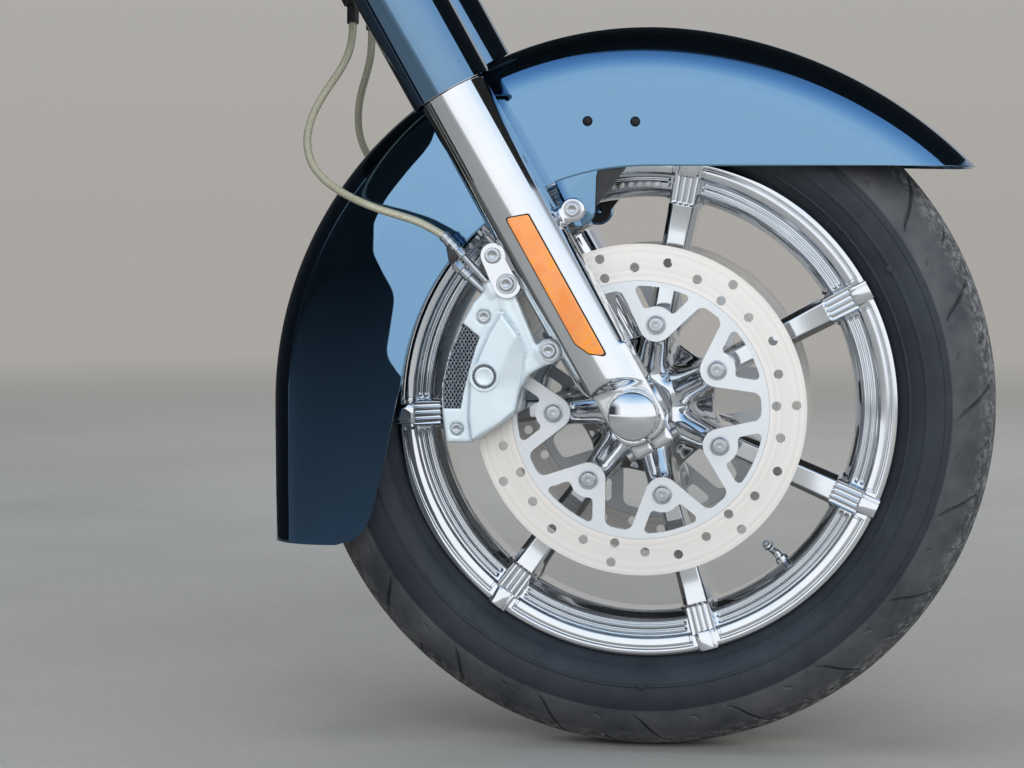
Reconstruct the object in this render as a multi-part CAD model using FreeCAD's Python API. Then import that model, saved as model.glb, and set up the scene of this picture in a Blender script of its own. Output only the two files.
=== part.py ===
import FreeCAD, Part
import math
import os

# Front end of a touring cruiser motorcycle: steering head, fork, mudguard, brakes and wheel.
# Everything is drawn about the axle: X forward, Y to the rider's left, Z up, in millimetres.
# Three local frames are used. A fork leg's is (forward, across, up the leg), from the axle.
# The steering head's is (forward, across, up the steering axis), from the foot of that axis.
# A wheel piece is drawn at angle 0, along +X, and turned about the axle.
# At the end all of it is moved so that the mouth of the backbone socket is the origin.

V = FreeCAD.Vector

# Steering geometry

RAKE = 26.0                # steering axis from the vertical
LEG_ANGLE = 29.25          # fork legs from the vertical
AXIS_AHEAD = 12.5          # steering axis in front of the axle, square to the axis
LEG_AHEAD = -4.5           # leg centreline from the axle, square to the leg
LEG_Y = 125.0              # leg centreline from the middle plane
STEER_LIMIT = 30.0         # steering stops, each way

# Wheel and tyre

TYRE_R = 320.0             # radius over the crown
SECTION_HIGH = 89.2        # tyre above the rim's flange
RIM_R = TYRE_R - SECTION_HIGH   # outer edge of the flange
RIM_HALF = 46.8            # half the width over the flanges
FLANGE_HIGH = 13.8         # flange above the seat of the tyre bead
WELL_DEEP = 18.5           # bottom of the drop centre below the seat
RIM_WALL = 6.5             # thickness of the barrel there
FLANGE_T = 6.0
BEAD_LAND = 15.0           # width of each bead's seat
WELL_RUN = 9.0             # from the seat to the bottom of the drop centre, across
# Steps of the rim's face, each inside the flange's edge and below its outer face.
RIM_FACE = ((5.4, 0.0), (15.6, 2.3), (18.0, 4.2), (30.0, 9.3), (32.0, 11.0))
BARREL_BELOW = 32.8        # where the face meets the barrel
# Grooves in that face: outer and inner edge, floor, and the degrees kept beside a spoke.
GROOVES = ((6.4, 13.4, 3.6, 3.45), (23.0, 29.8, 11.0, 5.5))
BEAD_R = RIM_R - FLANGE_HIGH
WELL_R = BEAD_R - WELL_DEEP
BARREL_R = WELL_R - RIM_WALL
TYRE_HALF = 65.0           # half the section width
TREAD_HALF = 58.0          # half the tread width
TREAD_DROP = 0.359 * SECTION_HIGH   # crown down to the tread's edge
TYRE_WALL = 8.0
TREAD_T = 12.0
BEAD_GAP = 1.0             # bead to flange
SPOKES = 7
FIRST_SPOKE = 28.0         # angle of the first spoke above +X
SPOKE_HALF = 42.0          # half the depth of a spoke
SPOKE_FACE_HUB = 6.0       # half the width of its face at the hub
SPOKE_FACE_RIM = 9.2       # and at the rim
SPOKE_FLARE = 5.0          # how much wider each side is behind the face
SPOKE_SLOPE = 14.0         # depth over which it widens
KNUCKLE_R = 9.5            # round end of a spoke over the flange
KNUCKLE_OUT = 2.0          # how far the knuckle stands out of the flange
COLLAR_HALF = 10.8         # fluted collar where a spoke meets the rim
COLLAR_LONG = 26.5
COLLAR_OUT = 2.8           # its face above the spoke's
FLUTES = 4
FLUTE_R = 1.6
HUB_R = 34.0
HUB_HALF = 62.0
HUB_BORE_R = 22.0
BEARING_R = 26.0
BEARING_T = 16.0
ARM_R = 12.5               # arm from the hub to a disc boss
BOSS_R = 13.5
VALVE_FOOT = 13.0          # barrel to the valve's bend
VALVE_LEAN = (-9.0, -19.0) # from the bend to its tip
VALVE_NUT = (2.5, 4.5)     # wider than the stem, and its thickness
VALVE_R = 4.0
VALVE_ANGLE = -49.0

# Brake discs

DISC_R = 150.0
DISC_INNER_R = 109.4
DISC_Y = 86.0              # middle of the disc's thickness
DISC_T = 5.0
DISC_BOLT_R = 78.6         # radius of the bolt circle
LUG_R = 15.3               # round end of a disc lug
LUG_SPREAD = 35.75         # each edge of a lug from its middle line
LUG_ARM = 11.2             # width of each of its two arms
KIDNEY_R = 112.2           # outer edge of the window in a lug
KIDNEY_CORNER = 4.0
WINDOW_CORNER = 8.0
VENT_R = 4.25              # cooling holes
# Their radii, each with its share of a spoke's pitch
VENTS = ((135.0, 0.0), (128.7, 0.25), (128.7, -0.25), (122.8, 0.5), (140.7, 0.5))
BOLT_R = 4.0
BOLT_HEAD_R = 9.0
BOLT_HEAD = 3.3
BOLT_DEPTH = 15.0
BOLT_EDGE = 1.2            # height of the head's edge
SOCKET_R = 2.8

# Axle

AXLE_R = 12.5
RUNNING_GAP = 0.05
SEAL_GAP = 0.3
SPACER_R = 19.0
CAP_R = 21.5
CAP_TIP = 169.5

# Fork legs

TUBE_R = 20.65
TUBE_FOOT = 130.0          # lower end of the inner tube, up the leg
CAP_SEAT = 3.6             # tube cap above the upper clamp, which the legs cross at a slant
SLIDER_R = 31.0
SLIDER_FLAT = 97.5         # inner flat, beside the disc
SLIDER_WAIST = 46.0        # where the tube narrows into the foot
SLIDER_NECK = ((0, 24), (17, 26), (26, 34))   # radius and height below the waist
FOOT_HALF = 24.7
FOOT_T = 40.0
FOOT_R = 29.0              # round bottom of the foot, about the axle
FOOT_SIDE = 10.0           # its straight sides end this far below the axle
FOOT_OVER = 14.0           # and begin this far above the waist
PINCH_DROP = 37.0
PINCH_HALF = 20.0
PINCH_THIN = 11.0          # half the thickness of the clamp lugs
PINCH_BOLT_R = 5.0
PINCH_EDGE = 0.5           # bolt to the lugs' lower edge
SLIT = 3.0
COVER_R = 38.0
COVER_WALL = 3.5
REFLECTOR = ((-13.5, 205.5), (5.4, 199.0), (5.4, 57.5), (-7.0, 66.5), (-13.5, 80.0))
LENS_PROUD = 4.5           # in front of the slider
GUARD_LUG = (39.0, 185.0)  # mudguard bolt, forward and up the leg
GUARD_LUG_R = 10.7
CALIPER_LUGS = ((-41.5, 86.0, 11.0), (-45.0, 156.4, 11.0), (-43.5, 184.5, 9.5))
CALIPER_LUG_T = 14.0
SPOT = 3.0                 # flat round a lug, wider than the lug
CLAMPED_R = 10.0           # lugs wider than this hold one of the caliper's ears
LUG_SEAT = 6.0             # outer end of the mudguard's lug, outside the leg's centreline
LUG_WEB = 0.8              # half the height of a lug's web, by its radius

# Clamps and steering head

LOWER_U = 477.0            # underside of the lower clamp, up the steering axis
LOWER_T = 26.0
CLAMP_SPAN = 195.0
UPPER_U = LOWER_U + CLAMP_SPAN
SLIDER_TOP = LOWER_U - 62.0     # clear of the lower clamp, which the legs cross at a slant
COVER_FOOT = SLIDER_TOP - 86.0  # the covers overlap the sliders
UPPER_T = 18.0
EYE_R = 36.0
CLAMP_HUB_R = 29.0
CLAMP_WEB = 38.0
EAR_OUT = 9.0              # clamp ears behind an eye
EAR_HALF = 12.0
STEM_R = 12.7
NUT_R = 19.0
NUT_T = 16.0
STEM_OVER = 2.0            # stem above its nut
FLANGE_STEP = 8.0          # stem's foot, wider than the stem
STEM_FOOT = 4.0
RISER_Y = 44.5
RISER_N = -6.0
RISER_R = 6.4
RISER_BOSS = 9.0           # round each riser's bore
HEAD_R = 30.0
HEAD_GAP = 6.0             # head tube to each clamp
CUP_R = 33.0
CUP_T = 10.0
LAND = 14.0                # length of each bearing land
STOP_R = 5.0
STOP_AT = 42.0
STOP_TAB_HALF = 7.0
STOP_GAP = 0.3
BACKBONE_U = LOWER_U + 83.0     # where the backbone's line meets the steering axis
BACKBONE_BACK = 135.0      # from there to the socket's mouth
BACKBONE_R = 32.0
BACKBONE_BORE_R = 27.0
BACKBONE_DEPTH = 60.0
DOWN_R = 17.5
DOWN_BORE_R = 13.0
DOWN_DEPTH = 40.0
DOWN_Y = 19.5
DOWN_LEAN = 17.5           # down tubes from the vertical, towards the rear
DOWN_AT = (-48.0, 18.0)    # their tops, from the backbone's crossing
DOWN_REACH = 84.0
GUSSET_HALF = 13.0
GUSSET_UP = 84.0           # gusset above the backbone's line, on the head tube
GUSSET_DOWN = 42.0         # and below it
GUSSET_FROM = 45.0         # from the socket's mouth
GUSSET_EDGE = 8.0          # its corner inside the top of the backbone socket
GUSSET_KNEE = (-88.0, -30.0)    # its lower corner, from the backbone's crossing

# Mudguard

GUARD_CLEAR = 25.0         # tyre to the inside of the crown
GUARD_T = 2.5
GUARD_R = TYRE_R + GUARD_CLEAR + GUARD_T
GUARD_NOSE_R = GUARD_R + 92.2   # flatter crown in front
GUARD_NOSE_FROM = 82.0     # angle where the nose begins
GUARD_HALF = 85.0
GUARD_CORNER = 52.0
GUARD_FRONT_Z = TYRE_R - 100.5  # straight lower edge in front
GUARD_REAR_Z = -128.0      # rear end
GUARD_EDGE_R = TYRE_R - 101.0   # lower edge round the wheel
GUARD_EDGE = (132.0, 173.0)     # middle and end of that arc
EDGE_BEGIN = 6.6           # where the straight edge ends, in front of the axle
REAR_BACK = 25.0           # edge behind the wheel leans back this much
REAR_CORNER = (37.0, 42.0) # its lower corner, long and high
GUARD_RUN = 60.0           # the uncut form goes on this far past its edges
RIVETS = ((-48.3, TYRE_R - 60.1), (-5.3, TYRE_R - 60.7))
RIVET_R = 4.6
RIVET_HEAD = 2.2
RIVET_PIN = 0.6            # its pin, by the head's radius
TAB_R = 15.0
TAB_OVER = 21.0            # tab above the straight lower edge
STAY_T = 3.0
LUG_HEAD = (8.0, 5.5)      # head of the bolt in the fork's lug
STAY_R = 13.0              # round lower end of a stay, about the fork's lug
STAY_MARGIN = 10.0         # its edge above and below the rivets
STAY_END = 16.0            # and beyond them, fore and aft

# Calipers, right-hand outline about the axle, seen from the right

CALIPER_IN = 48.5
CALIPER_OUT = 124.0
CALIPER_HALF_T = 24.5      # thickness of each half
BRIDGE_GAP = 5.5           # over the disc's edge
EAR_T = 12.0
PAD_GAP = 0.3
PISTON_COVER = 7.0
CREASE = ((-107.5, 65.9), (-125.8, 21.3), (-124.6, -11.1))   # the cover slopes away beyond it
CREASE_FALL = 0.34         # how steeply
RING = (-135.5, 31.9, 13.6)     # raised ring on the cover, and its radius
RING_HIGH = 1.0
RING_WIDE = 3.4
CALIPER_BODY = ((-132, 113), (-147, 97), (-157, 79), (-168, 54), (-175.5, 22), (-175, 0),
                (-171, -28), (-147, -28), (-127, -15), (-110, -3), (-105, 20), (-97, 33),
                (-101, 55), (-107, 80), (-118, 103))
CALIPER_ARM = ((-110, 108), (-90, 60), (-78, 44), (-97, 33), (-112, 50), (-126, 112))
CALIPER_COVER = ((-120.3, 88.8), (-105.8, 69.3), (-100, 53), (-104, 26), (-109, 1), (-126, -13),
                 (-147.5, -26), (-150, -4), (-148.7, 25), (-141, 49), (-131.5, 70))
MESH = ((-155.6, 79), (-140.8, 66.7), (-144.7, 55.9), (-150.9, 35.8), (-155.6, 15.6),
        (-158, 2.4), (-180, 2.3), (-181, 20.1), (-178.4, 37.1), (-173.7, 54.1), (-166, 72))
MESH_DEEP = 4.0
MESH_BAR = 2.2
LINK_T = 4.0
LINK_ENDS = (12.5, 11.0)   # radii of its round ends
LEG_GAP = 0.3              # link plate to the leg
CALIPER_HEAD = (7.5, 6.0)  # radius and height of a bolt's head
CALIPER_BOLT_LONG = 26.0
PAD_EDGES = (1.0, 6.0)     # pad inside the disc's edge, and outside the ring's bore

# Hoses

HOSE_R = 3.6
FERRULE_R = 5.5
JUNCTION_AHEAD = -87.0     # middle of the block, square to the steering axis
JUNCTION_DROP = 25.0       # its underside below the lower clamp's
JUNCTION_HALF = 50.0
JUNCTION_BACK = 14.0       # half its thickness
JUNCTION_FERRULE = 24.0
BRACKET_T = 6.0
BRACKET_HALF = 24.0
BANJO_IN = 7.0             # the union's middle inside the caliper's face
HOSE_START = (-5.4, 46.0, -21.6)     # from the middle of the block's underside
HOSE_END = (-75.1, 117.5, 222.0)      # forward, across and up the leg
BANJO = (-60.0, 164.0)     # the union on the caliper, forward and up the leg
# Inner points of each hose, each from its place on the straight line between the ends.
RIGHT_HOSE = ((-7.5, -2, -2.7), (-23.6, 0.1, -8.5), (-44.6, 4.1, -13.2), (-63.7, 8.2, -19),
              (-75.7, 12.2, -25.8), (-77.8, 15.2, -32.5), (-69.8, 16.3, -33.2),
              (-55.8, 15.3, -30), (-39.9, 13.4, -23.8), (-23.9, 9.4, -14.5), (-10, 5, -5.2))
LEFT_HOSE = ((-8.6, -2, -2.7), (-22.8, -0.9, -7.5), (-38.9, 2.1, -10.2), (-52, 6.2, -14),
             (-61.1, 11.2, -18.8), (-62.2, 14.2, -22.5), (-57.4, 15.3, -24.2), (-48.5, 15.3, -23),
             (-36.6, 13.4, -18.8), (-22.8, 9.4, -12.5), (-9.9, 5, -5.2))

SIDES = (("right", -1), ("left", 1))
REACH = 900.0              # longer than any piece


def rotated(angle):
    return FreeCAD.Rotation(V(0, 1, 0), -angle)


LEG = FreeCAD.Placement(V(0, 0, 0), rotated(LEG_ANGLE))
AXIS_FOOT = rotated(RAKE).multVec(V(AXIS_AHEAD, 0, 0))
HEAD = FreeCAD.Placement(AXIS_FOOT, rotated(RAKE))
AXIS_MEET = HEAD.multVec(V(0, 0, BACKBONE_U))
ORIGIN = AXIS_MEET - V(BACKBONE_BACK, 0, 0)


def placed(shape, frame):
    """The shape, drawn in a local frame, in the axle's frame."""
    out = shape.copy()
    out.Placement = frame.multiply(out.Placement)
    return out


def save(name, *shapes):
    """Write one node, moved so that the socket's mouth is the origin."""
    shape = Part.makeCompound([s for part in shapes for s in part.Solids])
    shape.translate(-ORIGIN)
    if len(shape.Solids) == 1:
        shape = shape.Solids[0]
    shape.exportStep("parts/%s.step" % name)


def mirrored(shape):
    return shape.mirror(V(0, 0, 0), V(0, 1, 0))


def for_side(shape, side):
    """A piece drawn for the left side, on the side asked for."""
    return shape if side > 0 else mirrored(shape)


def outline(start, *steps):
    """A face from lines and arcs. A step is an end point, or a pair (middle, end) for an arc."""
    edges = []
    here = start
    for step in steps + (start,):
        if isinstance(step, tuple):
            end = step[1]
            edges.append(Part.Arc(here, step[0], end).toShape())
        else:
            end = step
            if (end - here).Length < 1e-6:
                continue
            edges.append(Part.LineSegment(here, end).toShape())
        here = end
    return Part.Face(Part.Wire(edges))


def spun(face, angle=360.0):
    """A face in the (radius, across) plane, turned about the axle from +X towards +Z."""
    solid = face.revolve(V(0, 0, 0), V(0, -1, 0), angle)
    if solid.Volume < 0:
        solid.reverse()
    return solid


def across(radius, y0, y1, x=0.0, z=0.0):
    """A cylinder along Y."""
    low = min(y0, y1)
    return Part.makeCylinder(radius, abs(y1 - y0), V(x, low, z), V(0, 1, 0))


def slab(points, y0, y1):
    """A plate with an outline of (x, z) points, from y0 to y1."""
    corners = [V(x, y0, z) for x, z in points]
    return outline(*corners).extrude(V(0, y1 - y0, 0))


def block(x0, x1, y0, y1, z0, z1):
    return Part.makeBox(x1 - x0, y1 - y0, z1 - z0, V(x0, y0, z0))


def around(shape, count, first):
    """Copies of a piece about the axle."""
    out = []
    for k in range(count):
        turn = FreeCAD.Placement(V(0, 0, 0), rotated(first + 360.0 * k / count))
        out.append(placed(shape, turn))
    return out


def polar(radius, angle, y=0.0):
    a = math.radians(angle)
    return V(radius * math.cos(a), y, radius * math.sin(a))


def chosen_edges(shape, test):
    return [e for e in shape.Edges if test(e)]


# Wheel


def flip(p):
    return V(p.x, -p.y, 0)


def bead_seat(edge_r):
    """The tyre's side of the rim, from one radius down to the drop centre, on the left."""
    seat = RIM_HALF - FLANGE_T
    land = seat - BEAD_LAND
    return [V(edge_r, seat, 0), V(BEAD_R, seat, 0), V(BEAD_R, land, 0), V(WELL_R, land - WELL_RUN, 0)]


def rim():
    """The rim, less two grooves in each face that stop beside every spoke."""
    face = [V(RIM_R, RIM_HALF, 0)]
    face += [V(RIM_R - inside, RIM_HALF - below, 0) for inside, below in RIM_FACE]
    face.append(V(BARREL_R, RIM_HALF - BARREL_BELOW, 0))
    seat = bead_seat(RIM_R)
    ring = face + [flip(p) for p in reversed(face)] + [flip(p) for p in seat] + seat[::-1]
    cuts = []
    for outer, inner, below, keep in GROOVES:
        high = RIM_HALF + 1
        low = RIM_HALF - below
        left = [V(RIM_R - outer, low, 0), V(RIM_R - outer, high, 0), V(RIM_R - inner, high, 0),
                V(RIM_R - inner, low, 0)]
        for section in (left, [flip(p) for p in left]):
            groove = spun(outline(*section), 360.0 / SPOKES - 2 * keep)
            cuts += around(groove, SPOKES, FIRST_SPOKE + keep)
    return spun(outline(*ring)).cut(cuts)


def spoke_section(radius, face):
    """The eight corners of a spoke at one radius."""
    wide = face + SPOKE_FLARE
    back = SPOKE_HALF - SPOKE_SLOPE
    half = [(SPOKE_HALF, face), (back, wide), (-back, wide), (-SPOKE_HALF, face)]
    ring = half + [(y, -z) for y, z in reversed(half)]
    points = [V(radius, y, z) for y, z in ring]
    return Part.makePolygon(points + points[:1])


def collar(side):
    """The fluted collar at a spoke's outer end, on one side."""
    end = BEAD_R - 2.5
    top = SPOKE_HALF + COLLAR_OUT
    y0, y1 = sorted((side * (SPOKE_HALF - SPOKE_SLOPE), side * top))
    body = block(end - COLLAR_LONG, end, y0, y1, -COLLAR_HALF, COLLAR_HALF)
    pitch = 2.0 * COLLAR_HALF / FLUTES
    cuts = []
    for k in range(FLUTES):
        foot = V(end - COLLAR_LONG, side * (top + FLUTE_R / 2), (k + 0.5) * pitch - COLLAR_HALF)
        cuts.append(Part.makeCylinder(FLUTE_R, COLLAR_LONG, foot, V(1, 0, 0)))
    return body.cut(cuts)


def spoke():
    hub = spoke_section(HUB_R * 0.7, SPOKE_FACE_HUB)
    end = spoke_section(WELL_R - 1.0, SPOKE_FACE_RIM)
    pieces = [Part.makeLoft([hub, end], True, True)]
    for side in (-1, 1):
        y = side * (RIM_HALF + KNUCKLE_OUT - KNUCKLE_R)
        knuckle = Part.makeCylinder(KNUCKLE_R, RIM_R - BARREL_R + 1.5, V(BARREL_R - 1, y, 0), V(1, 0, 0))
        pieces += [knuckle, collar(side)]
        face = side * (DISC_Y - DISC_T / 2)
        boss = across(BOSS_R, side * SPOKE_HALF * 0.8, face, DISC_BOLT_R)
        root = V(HUB_R * 0.5, side * HUB_HALF * 0.75, 0)
        tip = V(DISC_BOLT_R, face - side * BOSS_R, 0)
        arm = Part.makeCylinder(ARM_R, (tip - root).Length, root, tip - root)
        pieces += [boss, arm]
    return pieces[0].fuse(pieces[1:])


def wheel():
    body = rim().fuse([across(HUB_R, -HUB_HALF, HUB_HALF)] + around(spoke(), SPOKES, FIRST_SPOKE))
    tools = [across(HUB_BORE_R, -HUB_HALF - 1, HUB_HALF + 1)]
    for side in (-1, 1):
        tools.append(across(BEARING_R, side * (HUB_HALF - BEARING_T), side * (HUB_HALF + 1)))
        face = side * (DISC_Y - DISC_T / 2)
        tools += around(across(BOLT_R, face - side * BOLT_DEPTH, face, DISC_BOLT_R), SPOKES, FIRST_SPOKE)
    tools.append(tyre_side())
    save("wheel", body.cut(tools).removeSplitter())


def tyre_side():
    """The room of the tyre, which the knuckles and spokes stay out of."""
    seat = bead_seat(RIM_R + 5)
    return spun(outline(*(seat + [flip(p) for p in reversed(seat)])))


def inward(points, wall):
    """Three points of an arc, moved towards its centre."""
    centre = Part.Arc(*points).toShape().Curve.Center
    return [p + (centre - p).normalize() * wall for p in points]


def tyre():
    seat = RIM_HALF - FLANGE_T - BEAD_GAP
    foot = [V(RIM_R, seat - 9, 0), V(BEAD_R, seat - 12, 0), V(BEAD_R, seat, 0),
            V(RIM_R + BEAD_GAP, seat, 0)]
    shoulder_r = TYRE_R - TREAD_DROP
    widest_r = (RIM_R + shoulder_r) / 2 + 8
    side = [V(RIM_R + 4, RIM_HALF + BEAD_GAP, 0), V(widest_r, TYRE_HALF, 0), V(shoulder_r, TREAD_HALF, 0)]
    crown = [V(shoulder_r, TREAD_HALF, 0), V(TYRE_R, 0, 0), V(shoulder_r, -TREAD_HALF, 0)]
    inner_side = inward(side, TYRE_WALL)
    inner_crown = inward(crown, TREAD_T)
    ring = foot + [side[0], (side[1], side[2]), (crown[1], crown[2]), (flip(side[1]), flip(side[0]))]
    ring += [flip(p) for p in reversed(foot)]
    ring += [flip(inner_side[0]), (flip(inner_side[1]), flip(inner_side[2])), inner_crown[2],
             (inner_crown[1], inner_crown[0]), inner_side[2], (inner_side[1], inner_side[0])]
    save("tyre", spun(outline(*ring)))


def disc_plate():
    """A floating ring carried by seven lugs, each two arms that meet at a bolt."""
    low = DISC_Y - DISC_T / 2
    spread = math.radians(LUG_SPREAD)
    along = V(math.cos(spread), 0, math.sin(spread))
    outward = V(-math.sin(spread), 0, math.cos(spread))
    bolt = V(DISC_BOLT_R, low, 0)

    def wedge(offset):
        """The part between two lines that spread from the bolt, each that far from it."""
        upper = bolt + outward * offset
        tip = upper + along * ((DISC_INNER_R + 8 - upper.x) / math.cos(spread))
        face = outline(upper, tip, V(tip.x, low, -tip.z), V(upper.x, low, -upper.z))
        return face.extrude(V(0, DISC_T, 0))

    ring = across(DISC_R, low, low + DISC_T).cut(across(DISC_INNER_R, low, low + DISC_T))
    lug = wedge(LUG_R).fuse(across(LUG_R, low, low + DISC_T, DISC_BOLT_R))
    plate = ring.fuse(around(lug, SPOKES, 0)).removeSplitter()
    corners = chosen_edges(plate, lambda e: upright(e) and near_circle(e, DISC_INNER_R, 1.0))
    plate = plate.makeFillet(WINDOW_CORNER, corners)
    kidney = wedge(LUG_R - LUG_ARM).cut(across(LUG_R + 1.2, low, low + DISC_T, DISC_BOLT_R))
    kidney = kidney.common(across(KIDNEY_R, low, low + DISC_T))
    kidney = kidney.makeFillet(KIDNEY_CORNER, chosen_edges(kidney, upright))
    tools = [kidney, across(BOLT_R, low, low + DISC_T, DISC_BOLT_R)]
    for radius, share in VENTS:
        at = polar(radius, share * 360.0 / SPOKES)
        tools.append(across(VENT_R, low, low + DISC_T, at.x, at.z))
    cuts = []
    for tool in tools:
        cuts += around(tool, SPOKES, 0)
    return around(plate.cut(cuts), 1, FIRST_SPOKE)[0]


def upright(edge):
    """True for a straight edge along Y."""
    if len(edge.Vertexes) != 2:
        return False
    step = edge.Vertexes[1].Point - edge.Vertexes[0].Point
    return abs(step.x) + abs(step.z) < 1e-4 and abs(step.y) > 1


def near_circle(edge, radius, slack):
    at = edge.Vertexes[0].Point
    return abs(math.hypot(at.x, at.z) - radius) < slack


def disc_bolt():
    """A low round head with a socket, and its shank through the disc."""
    face = DISC_Y + DISC_T / 2
    head = outline(
        V(0, face - BOLT_DEPTH, 0), V(BOLT_R, face - BOLT_DEPTH, 0), V(BOLT_R, face, 0),
        V(BOLT_HEAD_R, face, 0), V(BOLT_HEAD_R, face + BOLT_EDGE, 0),
        V(BOLT_HEAD_R - 2.0, face + BOLT_HEAD, 0), V(0, face + BOLT_HEAD, 0))
    socket = across(SOCKET_R, face + BOLT_HEAD - 2, face + BOLT_HEAD)
    bolt = spun(head).cut(socket)
    bolt.translate(V(DISC_BOLT_R, 0, 0))
    return bolt


def brake_discs():
    plate = disc_plate()
    bolts = Part.makeCompound(around(disc_bolt(), SPOKES, FIRST_SPOKE))
    for name, side in SIDES:
        save("brake_disc_%s" % name, for_side(plate, side))
        save("disc_bolts_%s" % name, for_side(bolts, side))


def hub_bearings():
    rings = []
    for side in (-1, 1):
        y0 = side * (HUB_HALF - BEARING_T)
        y1 = side * HUB_HALF
        rings.append(across(BEARING_R, y0, y1).cut(across(AXLE_R + RUNNING_GAP, y0, y1)))
    save("hub_bearings", *rings)


def valve_stem():
    """A bent valve, out of the rim's barrel and turned to the right."""
    corner = V(BARREL_R - VALVE_FOOT, 0, 0)
    tip = corner + V(VALVE_LEAN[0], VALVE_LEAN[1], 0)
    wider, nut_t = VALVE_NUT
    pieces = [
        Part.makeCylinder(VALVE_R + wider, nut_t, V(BARREL_R, 0, 0), V(-1, 0, 0)),
        Part.makeCylinder(VALVE_R, VALVE_FOOT, V(BARREL_R, 0, 0), V(-1, 0, 0)),
        Part.makeSphere(VALVE_R, corner),
        Part.makeCylinder(VALVE_R, (tip - corner).Length, corner, tip - corner),
    ]
    stem = pieces[0].fuse(pieces[1:]).common(across(BARREL_R, -RIM_HALF, RIM_HALF))
    save("valve_stem", *around(stem, 1, VALVE_ANGLE))


# Fork


def foot_face():
    return LEG_Y + FOOT_T / 2


def leg_lug(s, t, radius, y0, y1):
    """A round lug beside the leg, with the web that carries it."""
    half = radius * LUG_WEB
    web = block(min(s, LEG_AHEAD), max(s, LEG_AHEAD), y0, y1, t - half, t + half)
    return across(radius, y0, y1, s, t).fuse(web)


def lug_face(radius):
    """Outer face of a caliper lug: under the caliper's ear, or under the link plate."""
    return CALIPER_OUT - EAR_T if radius > CLAMPED_R else CALIPER_OUT


def slider():
    """The lower leg: a tube that narrows into the foot that holds the axle."""
    neck = [V(r, 0, t) for r, t in SLIDER_NECK]
    body = outline(*(neck + [V(SLIDER_R, 0, SLIDER_WAIST), V(SLIDER_R, 0, SLIDER_TOP),
                             V(0, 0, SLIDER_TOP)])).revolve(V(0, 0, 0), V(0, 0, 1), 360)
    body.translate(V(LEG_AHEAD, LEG_Y, 0))
    inner = LEG_Y - FOOT_T / 2
    outer = foot_face()
    high = SLIDER_WAIST + FOOT_OVER
    foot = outline(
        V(-FOOT_HALF, inner, high), V(-FOOT_HALF, inner, -FOOT_SIDE),
        (V(0, inner, -FOOT_R), V(FOOT_HALF, inner, -FOOT_SIDE)),
        V(FOOT_HALF, inner, high)).extrude(V(0, FOOT_T, 0))
    pinch = block(-PINCH_HALF, PINCH_HALF, LEG_Y - PINCH_THIN, LEG_Y + PINCH_THIN, -PINCH_DROP, 0)
    seat = LEG_Y + LUG_SEAT
    lugs = [leg_lug(GUARD_LUG[0], GUARD_LUG[1], GUARD_LUG_R, GUARD_HALF, seat)]
    for s, t, radius in CALIPER_LUGS:
        top = lug_face(radius)
        lugs.append(leg_lug(s, t, radius, top - CALIPER_LUG_T, top))
    body = body.cut(block(-REACH, REACH, 0, SLIDER_FLAT, 0, REACH)).fuse([foot, pinch] + lugs)
    bore = Part.makeCylinder(TUBE_R, SLIDER_TOP, V(LEG_AHEAD, LEG_Y, TUBE_FOOT))
    slit = block(-SLIT / 2, SLIT / 2, inner, outer, -2 * PINCH_DROP, 0)
    tools = [bore, slit, across(AXLE_R, inner, outer)]
    tools.append(across(BOLT_R, GUARD_HALF, seat, GUARD_LUG[0], GUARD_LUG[1]))
    for s, t, radius in CALIPER_LUGS:
        tools.append(across(BOLT_R, LEG_Y - FOOT_T, outer, s, t))
        tools.append(across(radius + SPOT, lug_face(radius), LEG_Y + SLIDER_R, s, t))
    return body.cut(tools).removeSplitter()


def beyond(u, upward):
    """All that lies above, or below, one height on the steering axis."""
    low = u if upward else u - REACH
    return placed(block(-REACH, REACH, -REACH, REACH, low, low + REACH), HEAD)


def fork_tube():
    """The inner tube, from inside the slider to its cap on the upper clamp."""
    top = UPPER_U + UPPER_T + CAP_SEAT
    tube = Part.makeCylinder(TUBE_R, top - TUBE_FOOT, V(LEG_AHEAD, LEG_Y, TUBE_FOOT))
    cap = Part.makeCylinder(TUBE_R + 3.5, 9, V(LEG_AHEAD, LEG_Y, top))
    socket = Part.makeCylinder(8.5, 5, V(LEG_AHEAD, LEG_Y, top + 4))
    return tube.fuse(cap).cut(socket).removeSplitter()


def fork_cover():
    """Two lengths of cover: down over the slider, and between the clamps."""
    at = V(LEG_AHEAD, LEG_Y, COVER_FOOT)
    length = UPPER_U + UPPER_T - COVER_FOOT
    long_one = Part.makeCylinder(COVER_R, length, at).cut(
        Part.makeCylinder(COVER_R - COVER_WALL, length, at))
    long_one = placed(long_one, LEG)
    lower = long_one.cut(beyond(LOWER_U, True))
    upper = long_one.cut([beyond(UPPER_U, True), beyond(LOWER_U + LOWER_T, False)])
    return lower, upper


def reflector():
    corners = [V(s, foot_face(), t) for s, t in REFLECTOR]
    lens = outline(*corners).extrude(V(0, LEG_Y + SLIDER_R + LENS_PROUD - foot_face(), 0))
    return lens.cut(Part.makeCylinder(SLIDER_R, SLIDER_TOP, V(LEG_AHEAD, LEG_Y, 0)))


def fork_legs():
    pieces = (("slider", slider()), ("fork_tube", fork_tube()), ("reflector", reflector()))
    lower, upper = fork_cover()
    for name, side in SIDES:
        for piece, shape in pieces:
            save("%s_%s" % (piece, name), for_side(placed(shape, LEG), side))
        save("fork_cover_%s" % name, for_side(lower, side), for_side(upper, side))


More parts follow.
